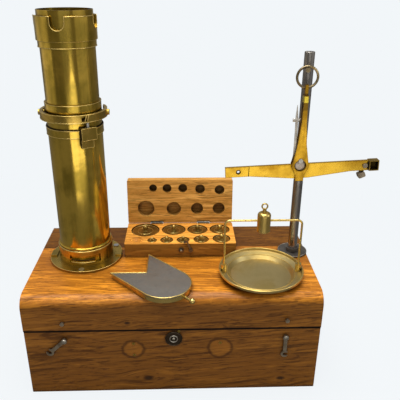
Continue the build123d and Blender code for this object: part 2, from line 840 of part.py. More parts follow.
def box_knuckle_at(x, bore):
    """A knuckle of a box hinge along X."""
    with BuildPart() as piece:
        with BuildSketch(Plane.YZ.offset(x - box_knuckle / 2 + rest_gap / 2)):
            with Locations((knuckle_y, knuckle_z)):
                Circle(box_knuckle_r)
                Circle(bore, mode=Mode.SUBTRACT)
        extrude(amount=box_knuckle - rest_gap)
    return piece.part


with BuildPart() as box_base_leaves:
    for side in (-1, 1):
        centre = box_x + side * box_hinge_reach
        for end in (-1, 1):
            x = centre + end * box_knuckle
            add(box_knuckle_at(x, box_pin_r))
        add(leaf(centre, -1, (-1, 1)))
        with BuildSketch(Plane.YZ.offset(centre - box_leaf_length / 2)):
            with Locations((knuckle_y, knuckle_z)):
                Circle(box_pin_r)
        extrude(amount=box_leaf_length)
keep(box_base_leaves.part, "box_hinge_base_half")

with BuildPart() as box_lid_leaves:
    for side in (-1, 1):
        centre = box_x + side * box_hinge_reach
        add(box_knuckle_at(centre, box_pin_r + pin_gap))
        add(leaf(centre, 1, (0,)))
keep(open_lid(box_lid_leaves.part), "box_hinge_lid_half")

# Disc weights with turned knobs


def disc_weight(dia, x, y):
    """A flat disc on the recess's floor with a waisted knob on top."""
    seat = box_top - recess_depth
    thick = recess_depth - weight_sunk
    knob = min(dia * weight_knob_share, weight_knob_max)
    ball_z = thick + weight_neck + knob * 0.8
    with BuildPart() as piece:
        with BuildSketch(Plane.XZ):
            with BuildLine():
                Polyline((0, 0), (dia / 2, 0), (dia / 2, thick - weight_edge),
                         (dia / 2 - weight_edge, thick), (knob * 0.9, thick),
                         (knob * 0.6, ball_z - knob * 0.8))
                ThreePointArc((knob * 0.6, ball_z - knob * 0.8), (knob, ball_z),
                              (0, ball_z + knob))
                Line((0, ball_z + knob), (0, 0))
            make_face()
        revolve(axis=Axis.Z)
    return Pos(x, y, seat) * piece.part


for name, (dia, along, back, hole) in weights.items():
    keep(disc_weight(dia, box_left + along, box_front_y + back), name)

# Clasp of the box: a round knob and a wire hook that turns on its screw
clasp_height = case_top + clasp_z
clasp_screw_x = clasp_x + clasp_hook_span
clasp_shank = rest_gap + clasp_hook_thick + rest_gap
with BuildPart() as clasp_fittings:
    with BuildSketch(Plane.XZ.offset(-box_front_y)):
        with Locations((clasp_x, clasp_height)):
            Circle(clasp_knob_r)
    extrude(amount=clasp_rose_thick)
    with BuildSketch(Plane.XZ.offset(-box_front_y + clasp_rose_thick)):
        with Locations((clasp_x, clasp_height)):
            Circle(clasp_knob_r / 2)
    extrude(amount=clasp_pip_thick)
    with BuildSketch(Plane.XZ.offset(-box_front_y)):
        with Locations((clasp_screw_x, clasp_height)):
            Circle(clasp_screw_r)
    extrude(amount=clasp_shank)
    with BuildSketch(Plane.XZ.offset(-box_front_y + clasp_shank)):
        with Locations((clasp_screw_x, clasp_height)):
            Circle(clasp_screw_r + clasp_screw_head)
    extrude(amount=clasp_screw_head)
keep(clasp_fittings.part, "clasp_fittings")

with BuildPart() as clasp_hook:
    with BuildSketch(Plane.XZ.offset(-box_front_y + rest_gap)):
        with Locations((clasp_screw_x, clasp_height)):
            Circle(clasp_hook_eye_r)
        with Locations(Pos(clasp_screw_x, clasp_height) * Rot(0, 0, clasp_hook_lean)
                       * Pos(0, clasp_hook_length / 2)):
            Rectangle(2 * clasp_wire_r, clasp_hook_length)
        with Locations(Pos(clasp_screw_x, clasp_height) * Rot(0, 0, clasp_hook_lean)
                       * Pos(clasp_wire_r - clasp_claw_length / 2, clasp_hook_length)):
            Rectangle(clasp_claw_length, 2 * clasp_wire_r)
        with Locations((clasp_screw_x, clasp_height)):
            Circle(clasp_screw_r + pin_gap, mode=Mode.SUBTRACT)
    extrude(amount=clasp_hook_thick)
keep(clasp_hook.part, "clasp_hook")

# Balance: steel post in a disc foot, peg, ring, fork with its knife pin, beam and hook


def on_post(height):
    """A level plane at a height, centred on the post."""
    return Plane.XY.offset(height).shift_origin((post_x, post_y, height))


with BuildPart() as post_foot:
    with BuildSketch(on_post(case_top)):
        Circle(foot_disc_r)
    extrude(amount=foot_disc_thick)
    fillet(post_foot.edges().sort_by(Axis.Z)[-1], flange_edge_radius)
    with BuildSketch(on_post(case_top)):
        Circle(foot_collar_r)
    extrude(amount=foot_collar_high)
    with BuildSketch(on_post(case_top)):
        Circle(post_r)
    extrude(amount=foot_collar_high, mode=Mode.SUBTRACT)
    with Locations(Pos(post_x, post_y - foot_collar_r, case_top + foot_collar_high / 2)
                   * Rot(90, 0, 0)):
        Cylinder(foot_screw_r, 2 * (foot_collar_r - post_r), mode=Mode.SUBTRACT)
keep(post_foot.part, "post_foot")

with BuildPart() as post_screw:
    with Locations(Pos(post_x, post_y - post_r, case_top + foot_collar_high / 2)
                   * Rot(90, 0, 0)):
        Cylinder(foot_screw_r, foot_collar_r - post_r + foot_screw_r,
                 align=(Align.CENTER, Align.CENTER, Align.MIN))
keep(post_screw.part, "post_grub_screw")

peg_run = Vector(hang_x - post_x, hang_y - post_y, 0)
peg_way = peg_run.normalized()
peg_root = Vector(post_x, post_y, peg_z)
peg_length = peg_run.length + peg_beyond
with BuildPart() as post:
    with BuildSketch(on_post(case_top)):
        Circle(post_r)
    extrude(amount=post_top_z - case_top)
    chamfer(post.edges().sort_by(Axis.Z)[-1], flange_edge_radius)
    with BuildSketch(Plane(peg_root, z_dir=peg_way)):
        Circle(peg_r)
    extrude(amount=peg_length, mode=Mode.SUBTRACT)
keep(post.part, "balance_post")

with BuildPart() as peg:
    with BuildSketch(Plane(peg_root, z_dir=peg_way)):
        Circle(peg_r)
    extrude(amount=peg_length)
    with BuildSketch(Plane(peg_root + peg_way * peg_length, z_dir=peg_way)):
        Circle(peg_r * 1.5)
    extrude(amount=thin_head)
keep(peg.part, "hanging_peg")

ring_centre_z = peg_z + peg_r + rest_gap / 2 - (ring_mean_r - ring_wire_r)
with BuildPart() as hang_ring:
    with Locations(Pos(hang_x, hang_y, ring_centre_z) * Rot(90, 0, 0)):
        Torus(ring_mean_r, ring_wire_r)
keep(hang_ring.part, "suspension_ring")

# Fork: a head with the eye for the ring, and two blades that carry the knife pin
ring_low_centre = ring_centre_z - ring_mean_r
fork_half = fork_gap / 2 + fork_blade_thick
neck_eye_r = ring_wire_r + ring_eye_gap
neck_top_z = ring_low_centre + ring_wire_r + rest_gap + fork_neck_cover
block_side = hang_x - fork_block_width / 2
eye_high = (hang_x - fork_eye_outer_r * eye_high_share, fork_eye_z + fork_eye_top_rise)
eye_low = (hang_x - fork_eye_outer_r * eye_low_share, fork_eye_z - fork_eye_low_drop)
tip_side = hang_x - fork_tip_width / 2
with BuildPart() as fork:
    with BuildSketch(Plane.XZ.offset(-hang_y - fork_half)):
        with BuildLine():
            Polyline(
                (block_side, fork_block_low_z),
                (block_side - fork_waist_swell, fork_eye_z + fork_waist_rise),
                (block_side - fork_shoulder_swell, fork_eye_z + fork_shoulder_rise),
                eye_high,
            )
            RadiusArc(eye_high, eye_low, -fork_eye_outer_r)
            Polyline(eye_low, (tip_side, fork_eye_z - fork_tip_drop), (tip_side, fork_tip_z),
                     (hang_x, fork_tip_z), (hang_x, fork_block_low_z),
                     (block_side, fork_block_low_z))
        make_face()
        mirror(about=Plane(origin=(hang_x, 0, 0), z_dir=(1, 0, 0)))
        with Locations((hang_x, fork_eye_z)):
            Circle(fork_eye_r, mode=Mode.SUBTRACT)
        with Locations((hang_x, knife_pin_z)):
            Circle(knife_pin_r, mode=Mode.SUBTRACT)
    extrude(amount=2 * fork_half)
    with Locations((hang_x, hang_y, (fork_block_low_z + fork_tip_z) / 2)):
        Box(4 * fork_eye_outer_r, fork_gap, fork_block_low_z - fork_tip_z,
            mode=Mode.SUBTRACT)
    with Locations((hang_x, hang_y, (fork_block_low_z + fork_block_high_z) / 2)):
        Box(fork_block_width, 2 * fork_half, fork_block_high_z - fork_block_low_z)
    with Locations((hang_x, hang_y, (fork_block_high_z + neck_top_z) / 2)):
        Box(fork_neck_width, fork_block_width, neck_top_z - fork_block_high_z)
    with Locations(Pos(hang_x, hang_y, ring_low_centre) * Rot(0, 90, 0)):
        Cylinder(neck_eye_r, 2 * fork_block_width, mode=Mode.SUBTRACT)
keep(fork.part, "beam_fork")

with BuildPart() as knife_pin:
    with BuildSketch(Plane.XZ.offset(-hang_y - fork_half - pin_proud)):
        with Locations((hang_x, knife_pin_z)):
            Circle(knife_pin_r)
    extrude(amount=2 * (fork_half + pin_proud))
keep(knife_pin.part, "knife_pin")


def tilted(piece):
    """Turns a piece of the level beam about the knife, to the tilt at which it stands."""
    return Pos(hang_x, 0, knife_pin_z) * Rot(0, -beam_tilt, 0) * piece


# The beam, drawn level with the knife at the origin
beam_hole_drop = knife_pin_z - fork_eye_z
with BuildPart() as beam:
    with BuildSketch(Plane.XZ.offset(-hang_y - beam_thick / 2)):
        with BuildLine():
            Polyline(
                (-beam_left, -beam_top_drop),
                (beam_right, -beam_top_drop),
                (beam_right, -beam_top_drop - beam_depth_end),
                (beam_taper_reach, -beam_top_drop - beam_depth_end),
                (fork_eye_outer_r, -beam_top_drop - beam_depth_mid),
                (-fork_eye_outer_r, -beam_top_drop - beam_depth_mid),
                (-beam_taper_reach, -beam_top_drop - beam_depth_end),
                (-beam_left, -beam_top_drop - beam_depth_end),
                (-beam_left, -beam_top_drop),
            )
        make_face()
        with Locations((0, -beam_hole_drop)):
            Circle(fork_eye_r + beam_eye_rim)
        with Locations((0, 0)):
            Circle(knife_pin_r + beam_boss_rim)
        with Locations((0, -beam_hole_drop)):
            Circle(fork_eye_r, mode=Mode.SUBTRACT)
        with Locations((0, 0)):
            Circle(knife_pin_r + pin_gap, mode=Mode.SUBTRACT)
        with Locations((-beam_hole_reach, -beam_top_drop - beam_depth_end / 2)):
            Circle(beam_hole_r, mode=Mode.SUBTRACT)
        with Locations((beam_right, -beam_top_drop - beam_depth_end / 2)):
            Rectangle(beam_slot_width, beam_depth_end - 2 * beam_slot_margin,
                      mode=Mode.SUBTRACT)
        with Locations((hook_arm_reach, -beam_top_drop - beam_depth_end / 2)):
            Circle(hook_arm_r + pin_gap, mode=Mode.SUBTRACT)
    extrude(amount=beam_thick)
keep(tilted(beam.part), "beam")

with BuildPart() as end_box:
    with Locations((beam_right + end_box_length / 2, hang_y,
                    -beam_top_drop - beam_depth_end / 2)):
        Box(end_box_length, end_box_width, end_box_depth)
        with Locations((0, -end_box_wall, 0)):
            Box(end_box_length - 2 * end_box_wall, end_box_width,
                end_box_depth - 2 * end_box_wall, mode=Mode.SUBTRACT)
keep(tilted(end_box.part), "beam_end_box")

hook_drop = -beam_top_drop - beam_depth_end / 2
hook_half = beam_thick / 2 + hook_side_gap
body_x = hook_arm_reach - hook_body_back
body_z = hook_drop - beam_depth_end / 2 - hook_body_drop
with BuildPart() as end_hook:
    with BuildSketch(Plane.XZ.offset(-hook_half - hook_strap_thick)):
        with Locations((hook_arm_reach, hook_drop)):
            Circle(hook_arm_r)
    extrude(amount=2 * (hook_half + hook_strap_thick))
    with BuildSketch(Plane.XZ.offset(hook_half)):
        with Locations((hook_arm_reach, hook_drop)):
            Circle(hook_head_wide)
    extrude(amount=hook_strap_thick)
    with BuildSketch(Plane.XZ.offset(-hook_half - hook_strap_thick)):
        with BuildLine():
            Polyline((hook_arm_reach - hook_strap_width, hook_drop + hook_strap_width),
                     (hook_arm_reach + hook_strap_width, hook_drop + hook_strap_width),
                     (hook_arm_reach + hook_strap_width, hook_drop - hook_arm_r),
                     (body_x + hook_strap_width, body_z), (body_x - hook_strap_width, body_z),
                     (hook_arm_reach - hook_strap_width, hook_drop - hook_arm_r),
                     (hook_arm_reach - hook_strap_width, hook_drop + hook_strap_width))
        make_face()
    extrude(amount=hook_strap_thick)
    with BuildSketch(Plane.XZ.offset(-hook_half - hook_strap_thick)):
        with Locations(Pos(body_x, body_z) * Rot(0, 0, hook_body_turn)):
            RectangleRounded(hook_body_width, hook_body_depth, hook_body_depth / 4)
    extrude(amount=2 * (hook_half + hook_strap_thick))
keep(tilted(end_hook.part), "end_hook")

with BuildPart() as pointer:
    pointer_root = knife_pin_r + beam_boss_rim
    with BuildSketch(Plane.XZ.offset(-hang_y - pointer_thick / 2)):
        with BuildLine():
            Polyline((-pointer_width / 2, pointer_root), (pointer_width / 2, pointer_root),
                     (pointer_width * 0.3, pointer_cross_rise),
                     (pointer_neck_half, pointer_cross_rise + pointer_neck_rise),
                     (0, pointer_tip_rise),
                     (-pointer_neck_half, pointer_cross_rise + pointer_neck_rise),
                     (-pointer_width * 0.3, pointer_cross_rise),
                     (-pointer_width / 2, pointer_root))
        make_face()
        with Locations((0, pointer_cross_rise)):
            Rectangle(pointer_cross_width, pointer_cross_depth)
        with Locations((0, 0)):
            Circle(pointer_root, mode=Mode.SUBTRACT)
    extrude(amount=pointer_thick)
keep(tilted(pointer.part), "pointer")

# Pan: spun dish on a narrower floor, two sockets, wire bail and the tare weight on it
pan_base_z = case_top
bail_z = pan_base_z + bail_rise
cone_x = pan_x + pan_floor_r + pan_cone_reach
lip_x = pan_x + pan_r - pan_lip
with BuildPart() as pan_dish:
    with BuildSketch(Plane.XZ.offset(-pan_y)):
        with BuildLine():
            Polyline((pan_x, pan_base_z), (pan_x + pan_floor_r, pan_base_z),
                     (cone_x, pan_base_z + pan_cone_rise), (lip_x, pan_base_z + pan_shelf_rise),
                     (pan_x + pan_r, pan_base_z + pan_edge_rise),
                     (pan_x + pan_r, pan_base_z + pan_height),
                     (lip_x, pan_base_z + pan_height),
                     (lip_x - pan_inner_step, pan_base_z + pan_shelf_rise + pan_metal),
                     (cone_x - pan_inner_step, pan_base_z + pan_cone_rise + pan_metal),
                     (pan_x + pan_floor_r - pan_inner_step, pan_base_z + pan_metal),
                     (pan_x, pan_base_z + pan_metal), (pan_x, pan_base_z))
        make_face()
    revolve(axis=Axis((pan_x, pan_y, 0), (0, 0, 1)))
    for side in (-1, 1):
        with BuildSketch(Plane.XY.offset(pan_base_z + pan_metal)):
            with Locations((pan_x + side * bail_half, pan_y)):
                Circle(socket_r)
        extrude(amount=pan_height, mode=Mode.SUBTRACT)
keep(pan_dish.part, "pan_dish")

with BuildPart() as sockets:
    for side in (-1, 1):
        with BuildSketch(Plane.XY.offset(pan_base_z + socket_seat)):
            with Locations((pan_x + side * bail_half, pan_y)):
                Circle(socket_r)
                Circle(bail_wire_r, mode=Mode.SUBTRACT)
        extrude(amount=socket_rise)
keep(sockets.part, "bail_sockets")

with BuildPart() as bail:
    with BuildLine(Plane.XZ.offset(-pan_y)) as bail_line:
        FilletPolyline((pan_x - bail_half, pan_base_z + socket_seat), (pan_x - bail_half, bail_z),
                       (pan_x + bail_half, bail_z), (pan_x + bail_half, pan_base_z + socket_seat),
                       radius=bail_corner_r)
    with BuildSketch(Plane.XY.offset(pan_base_z + socket_seat)):
        with Locations((pan_x - bail_half, pan_y)):
            Circle(bail_wire_r)
    sweep(path=bail_line.wire())
keep(bail.part, "pan_bail")

tare_top_z = pan_base_z + tare_high_rise
with BuildPart() as tare:
    with BuildSketch(Plane.XY.offset(pan_base_z + tare_low_rise)):
        with Locations((pan_x, pan_y)):
            Circle(tare_r)
    extrude(amount=tare_high_rise - tare_low_rise)
    fillet(tare.edges().sort_by(Axis.Z)[-1], tare_r / 2)
    with Locations(Pos(pan_x, pan_y, tare_top_z)):
        Cylinder(tare_neck_r, 2 * tare_neck_rise)
    with Locations(Pos(pan_x, pan_y, bail_z) * Rot(0, 90, 0)):
        Cylinder(bail_wire_r, 4 * tare_r, mode=Mode.SUBTRACT)
    with Locations(Pos(pan_x, pan_y, tare_top_z + tare_neck_rise + tare_eye_r + tare_eye_wire_r / 2)
                   * Rot(90, 0, 0)):
        Torus(tare_eye_r, tare_eye_wire_r)
keep(tare.part, "tare_weight")

# Strike-off knife: steel plate with a V front on a brass rim, and a ball handle
knife_half = blade_width / 2
knife_straight = blade_length - knife_half
knife_frame = Pos(blade_x, blade_y, case_top) * Rot(0, 0, knife_way)
plate_low = blade_rim_height - blade_thick
with BuildPart() as blade:
    with BuildSketch(Plane.XY.offset(plate_low)):
        with BuildLine():
            Polyline((knife_straight, knife_half), (0, knife_half), (knife_half, 0),
                     (0, -knife_half), (knife_straight, -knife_half))
            ThreePointArc((knife_straight, -knife_half), (blade_length, 0),
                          (knife_straight, knife_half))
        make_face()
    extrude(amount=blade_thick)
keep(knife_frame * blade.part, "knife_plate")

with BuildPart() as blade_rim:
    with BuildSketch():
        with BuildLine():
            Polyline((knife_straight, knife_half), (blade_rim_start, knife_half),
                     (blade_rim_start, knife_half - blade_rim_thick),
                     (knife_straight, knife_half - blade_rim_thick))
            ThreePointArc((knife_straight, knife_half - blade_rim_thick),
                          (blade_length - blade_rim_thick, 0),
                          (knife_straight, -knife_half + blade_rim_thick))
            Polyline((knife_straight, -knife_half + blade_rim_thick),
                     (blade_rim_start, -knife_half + blade_rim_thick),
                     (blade_rim_start, -knife_half),
                     (knife_straight, -knife_half))
            ThreePointArc((knife_straight, -knife_half), (blade_length, 0),
                          (knife_straight, knife_half))
        make_face()
    extrude(amount=plate_low)
keep(knife_frame * blade_rim.part, "knife_rim")

stem_reach = blade_length + blade_stem
with BuildPart() as blade_knob:
    with Locations(Pos(blade_length, 0, plate_low / 2) * Rot(0, 90, 0)):
        Cylinder(blade_stem_r, blade_stem,
                 align=(Align.CENTER, Align.CENTER, Align.MIN))
    with Locations((stem_reach, 0, plate_low / 2)):
        Sphere(blade_knob_r)
    with BuildSketch():
        Circle(blade_length + blade_touch)
    extrude(amount=plate_low, mode=Mode.SUBTRACT)
keep(knife_frame * blade_knob.part, "knife_knob")

print(len(finished), "pieces written")
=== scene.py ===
# %% [markdown]
# A quarter-litre grain tester of brass and steel stands on its own oak case. The packed
# model gives every piece its place and size. This script dresses that model: it gives each
# piece its metal or wood, and adds the edges, screws and turned work that catch the light.
# Everything is in metres, with the middle of the case's bottom at the origin.

# %% Load the frame
import math

import bpy
import numpy as np
from mathutils import Matrix, Vector


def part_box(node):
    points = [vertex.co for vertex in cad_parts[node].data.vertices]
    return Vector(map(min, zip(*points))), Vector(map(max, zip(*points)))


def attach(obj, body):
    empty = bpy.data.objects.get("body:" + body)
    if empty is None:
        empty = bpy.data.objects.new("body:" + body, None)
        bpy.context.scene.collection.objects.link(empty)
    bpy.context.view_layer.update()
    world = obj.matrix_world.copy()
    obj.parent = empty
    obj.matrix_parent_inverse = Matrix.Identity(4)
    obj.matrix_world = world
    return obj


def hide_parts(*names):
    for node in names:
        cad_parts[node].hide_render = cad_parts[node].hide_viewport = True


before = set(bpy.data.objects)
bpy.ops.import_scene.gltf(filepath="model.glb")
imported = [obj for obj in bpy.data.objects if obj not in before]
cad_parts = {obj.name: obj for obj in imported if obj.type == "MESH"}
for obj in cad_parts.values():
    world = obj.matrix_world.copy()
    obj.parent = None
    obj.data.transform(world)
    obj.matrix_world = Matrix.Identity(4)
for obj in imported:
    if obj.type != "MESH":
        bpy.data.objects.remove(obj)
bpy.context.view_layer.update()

# %% [markdown]
# The camera comes first, because every later choice is judged through it. Its place was
# worked out from the case's corners, the two round tubes and the post: a lens of about
# 46 mm looks 24 degrees down at the case from half a metre away. The picture is square,
# so no shift is needed.

# %% Camera
CAMERA_AT = (0.01016, -0.51488, 0.42043)
LOOK_DOWN, LOOK_RIGHT, ROLL = math.radians(23.71), math.radians(2.17), math.radians(0.46)
FRAME_PX, FOCAL_PX, SENSOR_MM = 400, 509.5, 36.0

camera_data = bpy.data.cameras.new("camera")
camera_data.sensor_width = SENSOR_MM
camera_data.lens = FOCAL_PX * SENSOR_MM / FRAME_PX
camera = bpy.data.objects.new("camera", camera_data)
bpy.context.collection.objects.link(camera)
forward = Vector((math.sin(LOOK_RIGHT) * math.cos(LOOK_DOWN),
                  math.cos(LOOK_RIGHT) * math.cos(LOOK_DOWN), -math.sin(LOOK_DOWN)))
right = Vector((math.cos(LOOK_RIGHT), -math.sin(LOOK_RIGHT), 0))
up = right.cross(forward)
right, up = (right * math.cos(ROLL) + up * math.sin(ROLL),
             up * math.cos(ROLL) - right * math.sin(ROLL))
turn = Matrix((right, up, -forward)).transposed()
camera.matrix_world = Matrix.Translation(CAMERA_AT) @ turn.to_4x4()
bpy.context.scene.camera = camera
print("lens", round(camera_data.lens, 2), "mm")

# %% [markdown]
# Shader maths reads best as plain arithmetic. The class below wraps one socket of a
# material. `node` makes any kind of node from its type, its settings and the values or
# links of its sockets, and adding or multiplying two wrapped values adds the Math node
# that does it. The same class serves metal, wood, the floor's paint and the room's light.

# %% A value in a material


class Value:
    """One output socket of a node tree, with arithmetic that adds Math nodes."""

    def __init__(self, tree, socket=None):
        self.tree, self.socket = tree, socket

    def node(self, kind, settings=None, out=0, **inputs):
        """Adds a node: settings first, then sockets by name, or by number as i0, i1."""
        made = self.tree.nodes.new(kind)
        for key, value in (settings or {}).items():
            setattr(made, key, value)
        for key, value in inputs.items():
            by_number = key[0] == "i" and key[1:].isdigit()
            target = made.inputs[int(key[1:]) if by_number else key.replace("_", " ")]
            if isinstance(value, Value):
                self.tree.links.new(value.socket, target)
            else:
                target.default_value = value
        return Value(self.tree, made.outputs[out] if made.outputs else None)

    def math(self, operation, *numbers):
        """A Math node on numbers and values, in the order given."""
        slots = {f"i{slot}": number for slot, number in enumerate(numbers)}
        return self.node("ShaderNodeMath", {"operation": operation}, **slots)

    def __add__(self, other):
        return self.math("ADD", self, other)

    def __radd__(self, other):
        return self.math("ADD", other, self)

    def __sub__(self, other):
        return self.math("SUBTRACT", self, other)

    def __rsub__(self, other):
        return self.math("SUBTRACT", other, self)

    def __mul__(self, other):
        return self.math("MULTIPLY", self, other)

    def __rmul__(self, other):
        return self.math("MULTIPLY", other, self)

    def __pow__(self, other):
        return self.math("POWER", self, other)

    def __abs__(self):
        return self.math("ABSOLUTE", self)

    def at_most(self, limit):
        """This value, held down to the limit."""
        return self.math("MINIMUM", self, limit)

    def step(self, low, high):
        """0 below low, 1 above high, and a smooth ramp between."""
        return self.node("ShaderNodeMapRange", {"interpolation_type": "SMOOTHSTEP"},
                         Value=self, From_Min=low, From_Max=high)

    def within(self, low, high, soft):
        """1 between low and high, 0 outside, with a ramp of `soft` either side of each."""
        return self.step(low - soft, low + soft) * (1.0 - self.step(high - soft, high + soft))

    def blend(self, low, high):
        """The colour low where this is 0, and high where it is 1."""
        return self.node("ShaderNodeMix", {"data_type": "RGBA"}, out=2, i0=self,
                         i6=low if isinstance(low, Value) else (*low, 1),
                         i7=high if isinstance(high, Value) else (*high, 1))

    def parts(self):
        """The X, Y and Z of a vector."""
        made = self.node("ShaderNodeSeparateXYZ", Vector=self).socket.node
        return [Value(self.tree, socket) for socket in made.outputs]


def new_material(name):
    """An empty node material, with a first value: the place on the object."""
    material = bpy.data.materials.new(name)
    material.use_nodes = True
    material.node_tree.nodes.clear()
    start = Value(material.node_tree)
    return material, start.node("ShaderNodeTexCoord", out="Object")


def times(colour, factor):
    """A colour made brighter or darker."""
    return tuple(channel * factor for channel in colour)


def brightened(colour, factor):
    """A colour made brighter, with no channel above 1."""
    return tuple(min(1.0, channel) for channel in times(colour, factor))


operators = [
    name for name, member in vars(Value).items()
    if name.startswith("__") and callable(member) and name != "__init__"
]
print("a value knows", len(operators), "operators")

# %% [markdown]
# Every finish ends in the same way, and most start from soft noise. The noise can be drawn
# out along one direction, which gives lathe marks, brushed steel and grain. A little of it
# also tilts the surface, because real metal and wood never mirror a perfectly straight line.

# %% Noise and the last nodes of a finish


def noise(place, scale, detail, roughness, distort=0.0, stretch=(1, 1, 1)):
    """Soft noise on stretched object coordinates, from 0 to 1."""
    moved = place.node("ShaderNodeMapping", Vector=place, Scale=stretch)
    return moved.node("ShaderNodeTexNoise", Vector=moved, Scale=scale, Detail=detail,
                      Roughness=roughness, Distortion=distort)


def finish_material(place, height, strength, depth, **sockets):
    """Feeds the Principled shader, with a bump of this height, and the output."""
    bump = place.node("ShaderNodeBump", Height=height, Strength=strength, Distance=depth)
    shader = place.node("ShaderNodeBsdfPrincipled", Normal=bump, **sockets)
    shader.node("ShaderNodeOutputMaterial", Surface=shader)


LATHE_DEPTH, GRAIN_DEPTH = 0.0002, 0.0003
print("bump depths", LATHE_DEPTH, GRAIN_DEPTH)

# %% [markdown]
# Two masks make metal and wood look used and lit. One is bright in corners and recesses,
# found by how much of the surroundings a point can see: there the colour takes dirt and
# painted shade. The other is bright where a slightly rounded normal leaves the true one:
# there an edge takes wear and a painted highlight, and painted shade where its tone is dark.
# Painting both by hand would give more control, but these follow the shape by themselves, on
# packed pieces as on new ones.

# %% Corners and edges
MASK_SAMPLES = 6
CORNER_POWER = 1.5
EDGE_LOW, EDGE_HIGH = 0.02, 0.25


def corners(place, reach):
    """1 deep in a corner or a recess, 0 on an open face."""
    open_sky = place.node("ShaderNodeAmbientOcclusion", {"samples": MASK_SAMPLES}, out=1,
                          Distance=reach)
    return (1.0 - open_sky) ** CORNER_POWER


def edges(place, radius):
    """1 on a sharp edge and 0 away from it, from the angle that rounding would turn."""
    rounded = place.node("ShaderNodeBevel", {"samples": MASK_SAMPLES}, Radius=radius)
    true = place.node("ShaderNodeNewGeometry", out="Normal")
    facing = rounded.node("ShaderNodeVectorMath", {"operation": "DOT_PRODUCT"}, out=1,
                          i0=rounded, i1=true)
    return (1.0 - facing).step(EDGE_LOW, EDGE_HIGH)


def with_dirt_and_shade(colour, place, reach, amount, most, tone):
    """The colour with painted shade and soiling in its corners, and the mask of both."""
    dirt_and_shade = (corners(place, reach) * amount).at_most(most)
    return dirt_and_shade.blend(colour, tone), dirt_and_shade


print("masks made with", MASK_SAMPLES, "samples")

# %% [markdown]
# Old brass is a metal with a warm, slightly green base. Lacquer and fingers leave it
# unevenly brown, so its colour drifts between polished gold and olive brown, its gloss
# drifts with it, and fine lathe or polishing marks show in the highlights. One function
# makes every brass here: what differs is how aged it is, which way it was polished, and how
# much painted light or shade it carries, since some are lighter or darker copies that stand
# in for light. Each noise is written down once with its scale, which is about how many of
# its patches lie along a metre.

# %% Brass
PATCHES = dict(scale=22.0, detail=4.0, roughness=0.6, distort=0.4)
STREAKS = dict(scale=190.0, detail=3.0, roughness=0.6, stretch=(1, 1, 0.04))
LATHE_MARKS = dict(scale=420.0, detail=2.0, roughness=0.5)
SPECKS = dict(scale=160.0, detail=5.0, roughness=0.7)
EDGE_SHADE = (0.16, 0.09, 0.012)
BAND_SOFT = 0.0003


def brass(name, bright, aged, age=0.5, gloss=0.16, stretch=(1, 1, 1), spots=0.3,
          grime_and_shade=0.85, streaks=0.0, edge=0.5, edge_tone=None,
          edge_reach=0.0009, reach=0.005, light_bands=()):
    """Polished brass, browned in patches, with painted shade and soiling in corners, painted
    highlight and wear on edges.
    """
    material, place = new_material(name)
    slow = noise(place, **PATCHES)
    # Vertical streaks in the colour: polish lines, and partly painted reflection bands on the
    # tubes and the fork.
    if streaks:
        slow = slow + (noise(place, **STREAKS) - 0.5) * streaks
    patches = (slow + age - 0.5).step(0.38, 0.66)
    marks = noise(place, **LATHE_MARKS, stretch=stretch)
    specks = noise(place, **SPECKS).step(0.62, 0.78)
    colour = patches.blend(bright, aged)
    dark = times(aged, 0.2)
    colour = (specks * spots).blend(colour, dark)
    # Bands of painted light and shade by height.
    for low, high, tone in light_bands:
        inside = place.parts()[2].within(low, high, BAND_SOFT)
        colour = (inside * 0.9).blend(colour, tone)
    # Edges take wear and a painted highlight; with a dark edge_tone they take painted shade
    # instead.
    edge_wear_and_light = edges(place, edge_reach)
    colour = (edge_wear_and_light * edge).blend(colour, edge_tone or brightened(bright, 1.15))
    # Corners take dirt and painted shade.
    colour, dirt_and_shade = with_dirt_and_shade(colour, place, reach, 1.5 * grime_and_shade, 0.94, dark)
    rough = gloss + patches * 0.12 + marks * 0.06 + specks * 0.1 + dirt_and_shade * 0.25
    finish_material(place, marks, 0.06, LATHE_DEPTH,
                    Base_Color=colour, Roughness=rough, Metallic=1.0)
    return material


# From one level to another, and the colour between: a painted highlight on the fork's neck, a
# bright band between two dark bands of painted shade.
FORK_LIGHT_BANDS = ((0.2950, 0.3030, (0.22, 0.13, 0.02)),
              (0.3030, 0.3095, (1.0, 0.82, 0.10)),
              (0.3095, 0.3125, (0.20, 0.11, 0.02)))
tube_brass = brass("tube_brass", (0.83, 0.57, 0.10), (0.42, 0.30, 0.045), 0.5, 0.08,
                   stretch=(1, 1, 0.03), streaks=0.34)
beam_brass = brass("beam_brass", (0.94, 0.60, 0.065), (0.66, 0.35, 0.02), 0.45, 0.22,
                   stretch=(0.1, 1, 6), spots=0.5, edge=0.85, edge_tone=EDGE_SHADE,
                   edge_reach=0.0022)
# The fork's brass is darker than the beam's: painted shade for the dark that its arms mirror.
fork_brass = brass("fork_brass", (0.84, 0.50, 0.045), (0.40, 0.22, 0.018), 0.52, 0.2,
                   stretch=(1, 1, 0.1), streaks=0.3, edge=0.85, edge_tone=EDGE_SHADE,
                   edge_reach=0.0022, light_bands=FORK_LIGHT_BANDS)
# The end box's brass is darker, and its long reach fills the box with deep painted shade.
end_brass = brass("end_brass", (0.60, 0.42, 0.10), (0.22, 0.14, 0.03), 0.55, 0.3, grime_and_shade=1.4,
                  reach=0.014)
ring_brass = brass("ring_brass", (0.52, 0.42, 0.24), (0.20, 0.155, 0.09), 0.5, 0.2)
